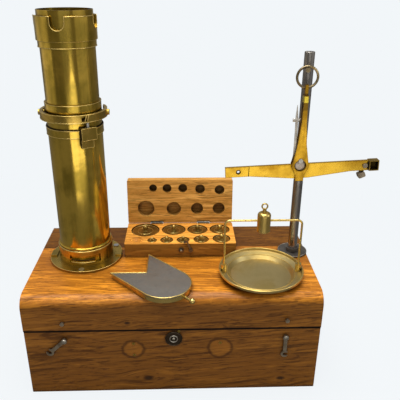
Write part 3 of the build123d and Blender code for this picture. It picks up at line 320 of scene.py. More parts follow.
# The foot's brass reaches further into corners for deeper painted shade, and its edges carry a
# strong painted highlight.
foot_brass = brass("foot_brass", (0.74, 0.50, 0.12), (0.36, 0.25, 0.05), 0.52, 0.17,
                   reach=0.008, edge=0.8, edge_reach=0.0014)
lock_bronze = brass("lock_bronze", (0.30, 0.23, 0.15), (0.09, 0.065, 0.045), 0.55, 0.25)
pan_brass = brass("pan_brass", (0.72, 0.57, 0.26), (0.52, 0.39, 0.14), 0.5, 0.26)
wire_brass = brass("wire_brass", (0.78, 0.58, 0.20), (0.50, 0.36, 0.10), 0.45, 0.22,
                   spots=0.05, edge=0.1)
weight_brass = brass("weight_brass", (0.62, 0.42, 0.11), (0.26, 0.17, 0.045), 0.55, 0.24)
# A lighter brass for the bright beads: painted highlights on edges and turned rings.
edge_brass = brass("edge_brass", (0.90, 0.68, 0.24), (0.58, 0.42, 0.12), 0.45, 0.26,
                   spots=0.1, grime_and_shade=0.4)
# Nearly black brass: painted shade in gaps, beside the latch and round the beam's edge, and the
# marks of the beam's hole and scribed line.
dark_line = brass("dark_line", (0.07, 0.045, 0.015), (0.03, 0.02, 0.008), 0.5, 0.4, edge=0.0)
print("materials with the brasses", len(bpy.data.materials))

# %% [markdown]
# Steel here comes in two states: the post and the knife are drawn or rolled, grey and
# worn bright with fine marks, while hooks, hinges and screws have gone nearly black. Rust
# is only a brown bloom in the colour, since it lies too thin to have a shape.

# %% Steel
DULL_PATCHES = dict(scale=30.0, detail=4.0, roughness=0.6, distort=0.5)
DRAWN_MARKS = dict(scale=500.0, detail=2.0, roughness=0.5)
RUST_BLOOM = dict(scale=140.0, detail=5.0, roughness=0.7)
RUST, OILY_DIRT_AND_SHADE = (0.10, 0.045, 0.02), (0.02, 0.016, 0.012)
STEEL_EDGE, STEEL_CORNER = 0.0005, 0.004


def steel(name, bright, dull, gloss, stretch=(1, 1, 1), rust=0.0):
    """Grey metal with marks along the stretch, duller in slow patches, brown where rusted."""
    material, place = new_material(name)
    patches = noise(place, **DULL_PATCHES).step(0.4, 0.66)
    marks = noise(place, **DRAWN_MARKS, stretch=stretch)
    colour = (patches * 0.8 + marks * 0.2).blend(bright, dull)
    if rust:
        bloom = noise(place, **RUST_BLOOM).step(0.56, 0.7)
        colour = (bloom * rust).blend(colour, RUST)
    # Edges take wear and a painted highlight.
    colour = (edges(place, STEEL_EDGE) * 0.5).blend(colour, brightened(bright, 1.9))
    # Corners take oily dirt and painted shade.
    colour, dirt_and_shade = with_dirt_and_shade(colour, place, STEEL_CORNER, 1.2, 0.9, OILY_DIRT_AND_SHADE)
    rough = gloss + patches * 0.15 + marks * 0.12 + dirt_and_shade * 0.2
    finish_material(place, marks, 0.08, LATHE_DEPTH,
                    Base_Color=colour, Roughness=rough, Metallic=1.0)
    return material


post_steel = steel("post_steel", (0.40, 0.39, 0.39), (0.22, 0.215, 0.22), 0.2,
                   stretch=(1, 1, 0.05))
blade_steel = steel("blade_steel", (0.36, 0.345, 0.32), (0.22, 0.21, 0.2), 0.34,
                    stretch=(0.15, 1, 1), rust=0.15)
hook_steel = steel("hook_steel", (0.60, 0.52, 0.41), (0.22, 0.17, 0.12), 0.3, rust=0.4)
dark_steel = steel("dark_steel", (0.22, 0.20, 0.17), (0.07, 0.062, 0.05), 0.3, rust=0.35)
disc_steel = steel("disc_steel", (0.24, 0.22, 0.20), (0.12, 0.11, 0.10), 0.36, rust=0.1)
bright_steel = steel("bright_steel", (0.62, 0.61, 0.6), (0.42, 0.41, 0.4), 0.25)
pointer_metal = steel("pointer_metal", (0.80, 0.78, 0.75), (0.58, 0.56, 0.54), 0.4)
bearing_steel = steel("bearing_steel", (0.92, 0.84, 0.78), (0.7, 0.62, 0.56), 0.5)
screw_steel = steel("screw_steel", (0.66, 0.62, 0.55), (0.3, 0.27, 0.22), 0.25)
print("materials with the steels", len(bpy.data.materials))

# %% [markdown]
# Oak's grain is noise drawn out along the board. It flows round a knot, so near one the
# noise is read at a height drawn towards the knot's own. Two old stains on the front, each a
# dark ring round paler wood, are distances from a point, made ragged by a little noise.

# %% Grain, knots and stains
SWAY = dict(scale=5.0, detail=2.0, roughness=0.5)
RAGGED = dict(scale=34.0, detail=4.0, roughness=0.7)


def grain(place, knots, slope):
    """The place to read the grain at, bent round knots, and a mask of the knots' cores."""
    x, y, z = place.parts()
    cores = x * 0.0
    for knot_x, knot_z, size in knots:
        away = ((x - knot_x) ** 2.0 * 0.3 + (z - knot_z) ** 2.0) ** 0.5
        near = 1.0 - away.step(size * 0.3, size * 2.2)
        z = z - (z - knot_z) * near * 0.8
        cores = cores + (1.0 - away.step(size * 0.15, size * 0.5))
    sway = noise(place, **SWAY) * 0.012
    bent = place.node("ShaderNodeCombineXYZ", i0=x, i1=y + sway + x * 0.05,
                      i2=z - x * slope + sway)
    return bent, cores.at_most(1.0)


def old_ring(colour, place, ring, dark, mid):
    """The colour with one old stain: a dark ring, and paler wood inside it."""
    ring_x, ring_z, radius = ring
    x, _, z = place.parts()
    ragged = (noise(place, **RAGGED) - 0.5) * 0.009
    away = ((x - ring_x) ** 2.0 + (z - ring_z) ** 2.0) ** 0.5 + ragged
    band = away.step(radius - 0.003, radius - 0.001) * (
        1.0 - away.step(radius, radius + 0.0025))
    colour = (band * 0.6).blend(colour, times(dark, 0.3))
    return ((1.0 - away.step(radius - 0.004, radius)) * 0.35).blend(colour, mid)


# Each knot and each stain: its x, its z and its size or radius.
FRONT_KNOTS = ((-0.048, 0.0905, 0.005), (-0.028, 0.0165, 0.009), (0.117, 0.013, 0.007))
OLD_RINGS = ((-0.0424, 0.0565, 0.0112), (0.0494, 0.0566, 0.0124))
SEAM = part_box("case_lid")[0].z
print("knots", len(FRONT_KNOTS), "stains", len(OLD_RINGS), "seam at", round(SEAM, 4))

# %% [markdown]
# The case is waxed oak. Its grain shows at five widths: broad light and dark bands, fine
# lines, dark strokes, pores like short dark dashes, and pale flecks where the saw crossed
# the wood's rays. Painted light makes the top golden and painted shade darkens the front and
# the other sides, as a lamp over the case would, and the front keeps its dark lines more
# strongly, so the colour also reads which way the surface faces. A flat picture of oak
# would be quicker, but it would repeat, and the corners wouldn't carry the grain on.

# %% Oak
BROAD = dict(scale=7.0, detail=3.0, roughness=0.5, distort=0.6, stretch=(0.5, 9.0, 9.0))
FINE_LINES = dict(scale=30.0, detail=5.0, roughness=0.7, distort=0.2,
                  stretch=(0.35, 12.0, 12.0))
PORES = dict(scale=62.0, detail=3.0, roughness=0.6, stretch=(0.7, 12.0, 12.0))
RAYS = dict(scale=110.0, detail=2.0, roughness=0.4, stretch=(2.0, 1.0, 1.0))
STROKES = dict(scale=19.0, detail=4.0, roughness=0.66, distort=1.4, stretch=(0.4, 10.0, 10.0))
SEAM_BLACK, KNOT_BLACK = (0.004, 0.002, 0.001), (0.012, 0.006, 0.003)
SEAM_HALF, SEAM_SOFT = 0.0008, 0.0015


def oak(name, pale, mid, dark, knots=(), rings=(), seam=None, painted_side_shade=0.5, painted_top_light=0.0,
        fleck=0.1, shine=0.36, lines=0.8, polish=0.3, slope=0.08, reach=0.007):
    """Waxed oak, grain along X: painted light on top, painted shade on sides and in corners,
    knots, old marks.
    """
    material, place = new_material(name)
    bent, cores = grain(place, knots, slope)
    broad, fine = noise(bent, **BROAD), noise(bent, **FINE_LINES)
    pores = noise(bent, **PORES).step(0.55, 0.64)
    rays = noise(bent, **RAYS).step(0.64, 0.72)
    strokes = noise(bent, **STROKES).step(0.51, 0.63)
    upward = place.node("ShaderNodeTexCoord", out="Normal").parts()[2]
    top = upward.step(0.1, 0.9)
    side = 1.0 - top
    tone = (broad * 0.35 + fine * 0.75 - 0.05).step(0.24, 0.76)
    colour = tone.blend(dark, mid)
    colour = ((fine - 0.1) + (broad - 0.5) * 0.5).step(0.36, 0.72).blend(colour, pale)
    # Painted shade: faces that don't look up are darkened.
    colour = (side * painted_side_shade).blend(colour, times(mid, 0.4))
    colour = (rays * top * fleck).blend(colour, times(pale, 1.2))
    colour = (strokes * (side * 0.75 + 0.15) * lines).blend(colour, times(dark, 0.42))
    colour = (pores * 0.62).blend(colour, times(dark, 0.36))
    # Painted light: faces that look up are brightened towards gold.
    colour = colour.node("ShaderNodeVectorMath", {"operation": "SCALE"}, i0=colour,
                         Scale=top * painted_top_light + 1.0)
    for ring in rings:
        colour = old_ring(colour, place, ring, dark, mid)
    if seam:
        gap = abs(place.parts()[2] - seam)
        level = 1.0 - abs(upward).step(0.3, 0.6)
        colour = ((1.0 - gap.step(SEAM_HALF, SEAM_SOFT)) * level).blend(colour, SEAM_BLACK)
    # Corners and recesses take painted shade and dirt.
    colour, _ = with_dirt_and_shade(colour, place, reach, 1.5, 0.95, times(dark, 0.12))
    if knots:
        colour = (cores * 0.85).blend(colour, KNOT_BLACK)
    finish_material(place, fine * 0.4 - pores, 0.22, GRAIN_DEPTH,
                    Base_Color=colour, Roughness=fine * 0.14 + pores * 0.15 + shine,
                    Coat_Weight=top * polish * (1.0 - pores * 0.6), Coat_Roughness=0.24,
                    Specular_IOR_Level=0.14)
    return material


FRONT_WOOD = ((0.52, 0.205, 0.018), (0.34, 0.122, 0.009), (0.13, 0.042, 0.003))
case_oak = oak("case_oak", *FRONT_WOOD, FRONT_KNOTS, OLD_RINGS, SEAM, painted_side_shade=0.6, painted_top_light=1.1)
plug_oak = oak("plug_oak", *FRONT_WOOD, FRONT_KNOTS, OLD_RINGS, painted_side_shade=0.6)
rear_oak = oak("rear_oak", (0.30, 0.118, 0.012), (0.20, 0.072, 0.007), (0.09, 0.03, 0.003),
               painted_side_shade=0.4, fleck=0.15, polish=0.15)
box_oak = oak("box_oak", (0.80, 0.38, 0.07), (0.56, 0.24, 0.035), (0.28, 0.11, 0.014),
              painted_side_shade=0.55, painted_top_light=0.7, shine=0.45, lines=0.45, polish=0.1, slope=0.0)
# The lid's long reach fills its holes with painted shade.
lid_oak = oak("lid_oak", (0.95, 0.57, 0.16), (0.88, 0.45, 0.10), (0.46, 0.20, 0.03),
              painted_side_shade=0.0, shine=0.45, lines=0.45, polish=0.1, slope=0.0, reach=0.014)
bare_oak = oak("bare_oak", (0.52, 0.33, 0.16), (0.40, 0.23, 0.10), (0.26, 0.13, 0.05),
               painted_side_shade=0.1, shine=0.6, polish=0.0)
print("materials with the oaks", len(bpy.data.materials))

# %% [markdown]
# Each packed piece now takes its finish. Where one piece of the real tester was made of
# another stock than its neighbour, such as the gold beam beside the olive tubes, it gets
# its own brass.

# %% Finish of each packed piece
WEIGHTS = [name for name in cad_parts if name.startswith("weight_")]
FINISH = {
    case_oak: ("case_base", "case_lid"),
    rear_oak: ("lid_rear_board",),
    box_oak: ("box_base",),
    lid_oak: ("box_lid",),
    bare_oak: ("case_floor",),
    plug_oak: ("wood_plug",),
    tube_brass: ("measure_tube", "measure_collar", "filling_tube", "filling_socket_band",
                 "mouth_collar", "falling_piston"),
    lock_bronze: ("lock_escutcheon",),
    hook_steel: ("left_hook", "right_hook", "hook_pivot_screws", "hook_studs", "end_hook"),
    foot_brass: ("column_foot", "knife_ring", "latch_block", "front_nails",
                 "case_hinge_base_leaves", "case_hinge_lid_leaves"),
    beam_brass: ("beam",),
    end_brass: ("beam_end_box",),
    ring_brass: ("suspension_ring", "hanging_peg"),
    fork_brass: ("beam_fork",),
    pan_brass: ("pan_dish",),
    wire_brass: ("pan_bail", "bail_sockets", "tare_weight", "knife_rim", "knife_knob"),
    weight_brass: WEIGHTS,
    post_steel: ("balance_post",),
    blade_steel: ("knife_plate",),
    bright_steel: ("knife_pin", "latch_pin", "foot_screws"),
    pointer_metal: ("pointer",),
    disc_steel: ("post_foot",),
    dark_steel: ("post_grub_screw", "lock_body", "lock_bolt", "clasp_fittings", "clasp_hook",
                 "box_hinge_base_half", "box_hinge_lid_half", "case_hinge_pins"),
}
for material, names in FINISH.items():
    for name in names:
        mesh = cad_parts[name].data
        mesh.materials.clear()
        mesh.materials.append(material)
undressed = set(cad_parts) - {name for names in FINISH.values() for name in names}
print("undressed", undressed)

# %% [markdown]
# The small turned details come next: the bright beads on the tubes' edges, which paint
# their highlights, the screws' domed heads, the knuckles of the box's hinges and the rings
# turned into the weights. Two surfaces make nearly all of them. One carries a small circle
# along a path, and the other turns a profile round an axis. Each new piece rides on the body
# that carries it.

# %% Swept and turned surfaces
BEAD_SIDES = 8
THIN, FINE, FULL, BOLD = 0.0003, 0.0004, 0.0006, 0.0008


def add_piece(name, points, faces, material, body):
    """Puts one worked-out surface into the scene and onto its body."""
    mesh = bpy.data.meshes.new(name)
    mesh.from_pydata(points.tolist(), [], faces.tolist())
    mesh.polygons.foreach_set("use_smooth", [True] * len(mesh.polygons))
    mesh.materials.append(material)
    made = bpy.data.objects.new(name, mesh)
    bpy.context.collection.objects.link(made)
    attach(made, body)
    return made


def grid_faces(rows, columns, wrap_rows):
    """Quads of a grid whose columns close on themselves, and its rows where asked."""
    row, column = np.meshgrid(np.arange(rows - (not wrap_rows)), np.arange(columns),
                              indexing="ij")
    below, after = (row + 1) % rows, (column + 1) % columns
    return np.stack([row * columns + column, row * columns + after,
                     below * columns + after, below * columns + column], -1).reshape(-1, 4)


def bead(name, path, radius, material, body, closed=True, out=None):
    """A bead along a path: each point plus radius * (cos v * side + sin v * up).

    Side is square to the path and to up, and up leans along `out` where it is given, or
    away from the path's middle. The two ends of an open path narrow to a fine point.
    """
    path = np.asarray(path, float)
    if closed:
        before, after = np.roll(path, 1, 0), np.roll(path, -1, 0)
    else:
        before, after = np.vstack([path[:1], path[:-1]]), np.vstack([path[1:], path[-1:]])
    along = after - before
    along /= np.linalg.norm(along, axis=1, keepdims=True)
    if out is None:
        up = path - path.mean(0)
    else:
        up = np.broadcast_to(np.asarray(out, float), path.shape)
    side = np.cross(along, up)
    side /= np.linalg.norm(side, axis=1, keepdims=True)
    up = np.cross(side, along)
    v = np.linspace(0, 2 * np.pi, BEAD_SIDES, endpoint=False)
    size = np.full(len(path), radius)
    if not closed:
        size[[0, -1]] = radius * 0.02
    ring = np.cos(v)[None, :, None] * side[:, None] + np.sin(v)[None, :, None] * up[:, None]
    points = (path[:, None] + size[:, None, None] * ring).reshape(-1, 3)
    faces = grid_faces(len(path), BEAD_SIDES, closed)[:, ::-1]
    return add_piece(name, points, faces, material, body)


def circle(centre, radius, start=0.0, end=360.0, axis="z", count=96):
    """Points round an axis through the centre, from one angle to another in degrees."""
    full = end - start >= 360.0
    turn = np.radians(np.linspace(start, end, count, endpoint=not full))
    flat = (radius * np.cos(turn), radius * np.sin(turn))
    level = np.zeros(count)
    parts = {"z": (*flat, level), "y": (flat[0], level, flat[1])}[axis]
    return np.asarray(centre) + np.stack(parts, 1)


def turned(name, centre, profile, material, body, axis="z", sign=1.0, count=40):
    """A turned piece: (radius, height) pairs of a profile go round an axis at the centre.

    A sign of -1 points it down the axis and keeps its faces outwards.
    """
    radius, height = np.asarray(profile, float).T
    turn = np.linspace(0, 2 * np.pi, count, endpoint=False)
    first, second = radius[:, None] * np.cos(turn), radius[:, None] * np.sin(turn) * sign
    rise = np.broadcast_to(height[:, None] * sign, first.shape)
    parts = {"z": (first, second, rise), "y": (second, rise, first),
             "x": (rise, first, second)}[axis]
    points = (np.asarray(centre) + np.stack(parts, -1)).reshape(-1, 3)
    faces = grid_faces(len(radius), count, False)
    return add_piece(name, points, faces, material, body)


# The radius at which a profile counts as having reached its axis.
POINT = 1e-5


def dome(radius, height, sunk=0.0006):
    """Profile of a screw head: a short side and a shallow quarter of an ellipse."""
    u = np.linspace(0, np.pi / 2, 8)
    return [(POINT, -sunk), (radius, -sunk)] + [
        (max(radius * math.cos(a), POINT), height * math.sin(a)) for a in u]


print("quads on a closed bead of 96 points", len(grid_faces(96, BEAD_SIDES, True)))

# %% [markdown]
# Places and sizes come from the packed pieces' own boxes, so that the dressing follows them
# if a size changes. A round piece's radius is half its box, measured along y where ears or
# notches change its width along x. A bead's middle lies just inside the piece, so that only
# its top shows: a bright one paints a highlight on the edge.

# %% Measures of a packed piece


def measure(node):
    """The middle, the half sizes and the lowest and highest corner of a packed piece."""
    low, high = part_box(node)
    return (low + high) / 2, (high - low) / 2, low, high


def round_edge(node, inset, level, half="x"):
    """Radius and height of an edge: `inset` inside the piece, `level` off its top or foot."""
    _, halves, low, high = measure(node)
    radius = getattr(halves, half) - inset
    return radius, (high.z + level if level <= 0 else low.z + level)


CX, CY = measure("column_foot")[0][:2]
UP, FRONT = (0, 0, 1), (0, -1, 0)
print("column at", round(CX, 4), round(CY, 4))

# %% [markdown]
# A flat piece such as the beam or the knife wears along its outline. The outline is found on
# the packed piece itself: of the triangles that lie in its outermost plane, the edges that
# only one triangle uses are its border, and joined end to end they make closed loops.

# %% Outlines of flat faces
MICRONS_PER_METRE = 1e6
FLAT_WITHIN_MICRONS = 5


def outlines(node, axis, sign):
    """Closed loops round the outermost flat face of a packed piece along one axis."""
    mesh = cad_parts[node].data
    points = np.array([v.co for v in mesh.vertices]) * MICRONS_PER_METRE
    faces = np.array([p.vertices[:] for p in mesh.polygons])
    level = (points[:, axis] * sign).max()
    faces = faces[(points[faces][:, :, axis] * sign > level - FLAT_WITHIN_MICRONS).all(1)]
    keys, same = np.unique(np.round(points).astype(int), axis=0, return_inverse=True)
    faces = same.reshape(-1)[faces]
    pairs = np.concatenate([faces[:, [0, 1]], faces[:, [1, 2]], faces[:, [2, 0]]])
    used, counts = np.unique(np.sort(pairs, 1), axis=0, return_counts=True)
    border = {tuple(pair) for pair in used[counts == 1].tolist()}
    following = {a: b for a, b in pairs.tolist() if tuple(sorted((a, b))) in border}
    loops = []
    while following:
        start, step = next(iter(following.items()))
        loop = [start]
        while step != start and step in following:
            loop.append(step)
            step = following[step]
        for point in loop:
            following.pop(point, None)
        loops.append(keys[loop] / MICRONS_PER_METRE)
    return sorted(loops, key=len, reverse=True)


def even(loop, spacing=0.002):
    """The same closed loop with points at most `spacing` apart."""
    closed = np.vstack([loop, loop[:1]])
    lengths = np.linalg.norm(np.diff(closed, axis=0), axis=1)
    counts = np.maximum(1, np.ceil(lengths / spacing).astype(int))
    return np.concatenate([a + (b - a) * np.linspace(0, 1, n, endpoint=False)[:, None]
                           for a, b, n in zip(closed[:-1], closed[1:], counts)])


KNIFE_LOOP, BEAM_LOOP = outlines("knife_plate", 2, 1)[0], outlines("beam", 1, -1)[0]
print("outline points", len(KNIFE_LOOP), "on the knife,", len(BEAM_LOOP), "on the beam")

# %% [markdown]
# The column's edges carry bright beads, painted highlights. The mouth collar's bead follows
# its four notches: along the top, down one side of each notch, round its half circle and up
# again. The angle round the collar is worked out from the notch's flat width, because a
# cutter goes straight through the wall.

# %% Bead on the mouth
NOTCH_HALF, NOTCH_DEPTH, SIDE_POINTS = 0.007, 0.0125, 12
NOTCH_BEARINGS = (-94.5, -4.5, 85.5, 175.5)
MOUTH_R, MOUTH_TOP = round_edge("mouth_collar", 0.0, 0.0)


def notched_mouth():
    """The mouth's path as bearings in radians and levels, through its four notches."""
    down = np.linspace(0, NOTCH_DEPTH - NOTCH_HALF, SIDE_POINTS)
    half_turn = np.linspace(0, np.pi, 15)[1:-1]
    across = np.concatenate([np.full(SIDE_POINTS, -NOTCH_HALF), -NOTCH_HALF * np.cos(half_turn),
                             np.full(SIDE_POINTS, NOTCH_HALF)])
    depth = np.concatenate([down, down[-1] + NOTCH_HALF * np.sin(half_turn), down[::-1]])
    bearings, levels = [], []
    for bearing in NOTCH_BEARINGS:
        notch = np.degrees(np.arcsin(across / MOUTH_R)) + bearing
        plain = np.linspace(notch[-1], notch[0] + 90.0, 14)[1:-1]
        bearings += [notch, plain]
        levels += [MOUTH_TOP - depth, np.full(len(plain), MOUTH_TOP)]
    return np.radians(np.concatenate(bearings)), np.concatenate(levels)


bearings, levels = notched_mouth()
outward = np.stack([np.cos(bearings), np.sin(bearings), np.zeros(len(bearings))], 1)
mouth_path = outward * MOUTH_R + np.stack([np.full(len(levels), CX), np.full(len(levels), CY),
                                           levels], 1)
bead("mouth_edge", mouth_path, FINE, edge_brass, "filling_tube", out=outward)
print("mouth bead points", len(mouth_path))

# %% [markdown]
# The other beads on the column are plain circles. Most sit on the top or the foot of one
# packed piece, and four on a step turned into it, whose radius or height is given. The
# ring's top edge is an arc that leaves out the back.

# %% Beads round the column
RING_POINTS = 120
MOUTH_STEP_R, MOUTH_STEP_TOP = 0.0286, 0.3632
SOCKET_R, FLANGE_TOP = 0.0296, 0.1230
mouth_foot = round_edge("mouth_collar", 0.0, 0.0002)[1]
socket_top = round_edge("column_foot", 0.0, -0.0001)[1]
flange_r = round_edge("column_foot", THIN, 0.0)[0]
# A bead's name, its radius and height, its own size, its body, and its bearings if an arc.
COLUMN_BEADS = (
    ("tube_rim", *round_edge("filling_tube", FINE, -FINE, "y"), FINE, "filling_tube", None),
    ("mouth_band_top", MOUTH_STEP_R, MOUTH_STEP_TOP, FINE, "filling_tube", None),
    ("mouth_band_low", MOUTH_STEP_R - 0.0002, mouth_foot, FINE, "filling_tube", None),
    ("socket_edge", *round_edge("filling_socket_band", 0.0001, -0.0001), FINE,
     "filling_tube", None),
    ("ring_top_edge", *round_edge("knife_ring", THIN, -0.0001, "y"), FINE, "measure",
     (-210, 30)),
    ("ring_low_edge", *round_edge("knife_ring", 0.0002, 0.0001, "y"), FINE, "measure", None),
    ("collar_top_edge", *round_edge("measure_collar", 0.0002, -0.0001), 0.0005, "measure",
     None),
    ("collar_low_edge", *round_edge("measure_collar", 0.0002, 0.0001), FINE, "measure", None),
    ("foot_bead", SOCKET_R, socket_top, BOLD, "lid", None),
    ("flange_edge", flange_r, FLANGE_TOP, FINE, "lid", None),
)
for name, radius, height, size, body, span in COLUMN_BEADS:
    path = circle((CX, CY, height), radius, *(span or (0.0, 360.0)), count=RING_POINTS)
    bead(name, path, size, edge_brass, body, closed=span is None,
         out=UP if span else None)
print("beads on the column", len(COLUMN_BEADS) + 1)

# %% [markdown]
# The latch is a small block on the front of the measure. Its bright edges, painted
# highlights, are what makes it stand out from the tube, so they are beads too, in the block's
# own turned frame: how far a point lies from the column's axis, how far across, and how high.
# A dark bead beside it paints the shade on its left side.

# %% Edges of the latch
LATCH_TURN = math.radians(-55.5)
_, _, latch_low, latch_high = measure("latch_block")
LATCH_STEP, SIDE_STEPS = 0.2689, 11
# A face's name, its reach from the axis, its half width, its shift, its foot and its top.
LATCH_FACES = (("latch_edge", 0.0344, 0.008, 0.0, LATCH_STEP, latch_high.z),
               ("latch_toe_edge", 0.0322, 0.0065, -0.0015, latch_low.z, LATCH_STEP))


def on_latch(reach, across, height):
    """A point from its reach from the column's axis, its shift across and its height."""
    return (CX + reach * math.cos(LATCH_TURN) - across * math.sin(LATCH_TURN),
            CY + reach * math.sin(LATCH_TURN) + across * math.cos(LATCH_TURN), height)


def rectangle(left, right, low, high):
    """Points round a rectangle: each side runs evenly from one corner towards the next."""
    ends = np.array([(left, low), (right, low), (right, high), (left, high), (left, low)])
    share = np.arange(SIDE_STEPS)[:, None] / SIDE_STEPS
    return np.concatenate([a + (b - a) * share for a, b in zip(ends[:-1], ends[1:])])


for name, reach, half, shift, low, high in LATCH_FACES:
    face = rectangle(shift - half, shift + half, low, high)
    bead(name, [on_latch(reach, across, z) for across, z in face], THIN, edge_brass,
         "measure")
shade_levels = (latch_low.z + 0.0004, latch_low.z + 0.0010, latch_high.z - 0.0012,
                latch_high.z - 0.0006)
bead("latch_shade", [on_latch(0.0316, -0.0083, z) for z in shade_levels], 0.0009, dark_line,
     "measure", closed=False, out=(1, 0, 0))
print("latch from", round(latch_low.z, 4), "to", round(latch_high.z, 4))

# %% [markdown]
# Where one tube enters the next, and inside the foot's slot, hardly any light comes back
# out. A dark bead in the gap draws that line, whatever the lamps do. In the slot, the
# bright edge of the metal shows below the dark.

# %% Gaps and the slot in the foot
# A line's name, its radius and height, its two bearings, its size, its metal and its body.
GAP_LINES = (
    ("collar_gap_left", 0.0288, 0.2789, -205, -72, FULL, dark_line, "measure"),
    ("collar_gap_right", 0.0288, 0.2789, -38, 25, FULL, dark_line, "measure"),
    ("slot_shade", 0.0298, 0.1309, -115, -61, 0.0010, dark_line, "lid"),
    ("slot_tongue", 0.0300, 0.1281, -114, -62, 0.0007, edge_brass, "lid"),
)
for name, radius, height, start, end, size, metal, body in GAP_LINES:
    bead(name, circle((CX, CY, height), radius, start, end, count=40), size, metal, body,
         closed=False, out=UP)
print("gap lines", len(GAP_LINES))

# %% [markdown]
# Over the latch two short bright edges climb the front of the knife ring, close together.
# At their size a slanting bead each is enough.

# %% Prongs on the ring
PRONG_R, PRONG_POINTS = 0.0343, 6
PRONG_LOW, PRONG_TOP = 0.2878, round_edge("knife_ring", 0.0, -0.0001)[1]
for name, start in (("ring_prong_left", -62), ("ring_prong_right", -57.5)):
    prong = circle((CX, CY, 0), PRONG_R, start, start + 4, count=PRONG_POINTS)
    prong[:, 2] = np.linspace(PRONG_LOW, PRONG_TOP, PRONG_POINTS)
    bead(name, prong, 0.0007, edge_brass, "measure", closed=False, out=UP)
print("prongs from", PRONG_LOW, "to", round(PRONG_TOP, 4))

# %% [markdown]
# A screw head is a shallow dome, so the screws of the two front hooks and of the clasp get
# one each. The lock's round plate gets a raised edge, and its keyhole a ring and the post
# that a hollow key slides over, with a domed end.

# %% Screws and keyhole
pivot_mid, _, pivot_low, pivot_high = measure("hook_pivot_screws")
lock_mid, lock_half, lock_low, _ = measure("lock_escutcheon")
clasp_mid, _, clasp_low, _ = measure("clasp_fittings")
PIVOT_R, CLASP_R, DOME_SHARE = 0.003, 0.003, 0.4
# A head's name, its middle, its radius and its body.
FRONT_DOMES = (
    ("left_hook_screw", (pivot_low.x + PIVOT_R, pivot_low.y, pivot_mid.z), 0.0026, "left_hook"),
    ("right_hook_screw", (pivot_high.x - PIVOT_R, pivot_low.y, pivot_mid.z), 0.0026,
     "right_hook"),
    ("clasp_screw", (clasp_low.x + CLASP_R, clasp_low.y + FINE, clasp_mid.z), 0.0014,
     "weights_box"),
    ("key_post", (0.0, lock_low.y, lock_mid.z), 0.0017, "case"),
)
for name, place, radius, body in FRONT_DOMES:
    turned(name, place, dome(radius, radius * DOME_SHARE), screw_steel, body, "y", -1.0)
bead("keyhole_ring", circle((0, lock_low.y - 0.0001, lock_mid.z), 0.0040, axis="y"), FULL,
     screw_steel, "case")
bead("escutcheon_edge", circle((0, lock_low.y, lock_mid.z), lock_half.z - FULL, axis="y"),
     FULL, lock_bronze, "case")
print("domes on screws and key post", len(FRONT_DOMES))

# %% [markdown]
# Each weight was turned from a rod: a disc with a rim, a ring cut into its top, and a knob
# to lift it by. Bright beads on the rim and the ring, and a bright dome on the knob's top,
# are painted highlights. Each is its own body, so its rings ride on it and not on the box.

# %% Rings on the weights
WEIGHT_FACE, KNOB_TOP_R = 0.13685, 0.0013
RING_SHARES = (("rim", 0.93), ("ring", 0.55))
for name in WEIGHTS:
    centre, halves, _, high = measure(name)
    for ring, share in RING_SHARES:
        path = circle((centre.x, centre.y, WEIGHT_FACE), halves.x * share, count=48)
        bead(f"{name}_{ring}", path, THIN, edge_brass, name)
    turned(f"{name}_knob_top", (centre.x, centre.y, high.z - FINE), dome(KNOB_TOP_R, FINE),
           edge_brass, name, count=20)
print("weights", len(WEIGHTS))

# %% [markdown]
# The box's two hinges show as bright knuckles between base and lid. A knuckle is a short
# rod with rounded ends, and three of them lie end to end over each pair of leaves.

# %% Hinge knuckles
HINGE_LONG, KNUCKLE_COUNT, KNUCKLE_GAP, KNUCKLE_R = 0.015, 3, 0.0006, 0.0013
KNUCKLE_LONG = (HINGE_LONG - (KNUCKLE_COUNT - 1) * KNUCKLE_GAP) / KNUCKLE_COUNT
hinge_low, hinge_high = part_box("box_hinge_base_half")
box_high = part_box("box_base")[1]
knuckle_y, knuckle_z = box_high.y - FINE, box_high.z + FINE
rod = [(POINT, -KNUCKLE_LONG / 2)] + [
    (KNUCKLE_R * min(1.0, math.sin(a) * 1.4), -KNUCKLE_LONG / 2 * math.cos(a))
    for a in np.linspace(0.25, np.pi - 0.25, 16)] + [(POINT, KNUCKLE_LONG / 2)]
for side, start in (("left", hinge_low.x), ("right", hinge_high.x - HINGE_LONG)):
    for part in range(KNUCKLE_COUNT):
        x = start + KNUCKLE_LONG / 2 + part * (KNUCKLE_LONG + KNUCKLE_GAP)
        turned(f"box_knuckle_{side}_{part}", (x, knuckle_y, knuckle_z), rod, screw_steel,
               "weights_box", "x")
print("knuckle", round(KNUCKLE_LONG * 1000, 2), "mm long")

# %% [markdown]
# The pan was turned as one shallow dish, and its rim, its shelf and its floor each get a
# bright ring, a painted highlight. The knife's steel plate lies in a brass rim that shows as a
# bright line round it, while a dark line round the beam's filed edge is painted shade.

# %% Edges of the pan, the knife and the beam
pan_mid, pan_half, _, pan_high = measure("pan_dish")
# A ring's name, its radius, its height and its size.
PAN_RINGS = (("rim", pan_half.x - BOLD, pan_high.z - THIN, 0.0007),
             ("shelf", 0.0369, 0.1256, 0.0005), ("floor", 0.0333, 0.1221, THIN))
for name, radius, height, size in PAN_RINGS:
    bead(f"pan_{name}_edge", circle((pan_mid.x, pan_mid.y, height), radius, count=160), size,
         edge_brass, "pan")
bead("knife_plate_edge", even(KNIFE_LOOP), FULL, edge_brass, "knife", out=UP)
bead("beam_edge", even(BEAM_LOOP), FINE, dark_line, "beam", out=FRONT)
print("pan rings", len(PAN_RINGS))

# %% [markdown]
# The post is a plain steel rod in a round foot, and bright beads on the rod's top and the
# foot's edge are painted highlights. On the beam, a small hole and a scribed line mark the
# left end, and a pale disc shows where its knife edge bears.

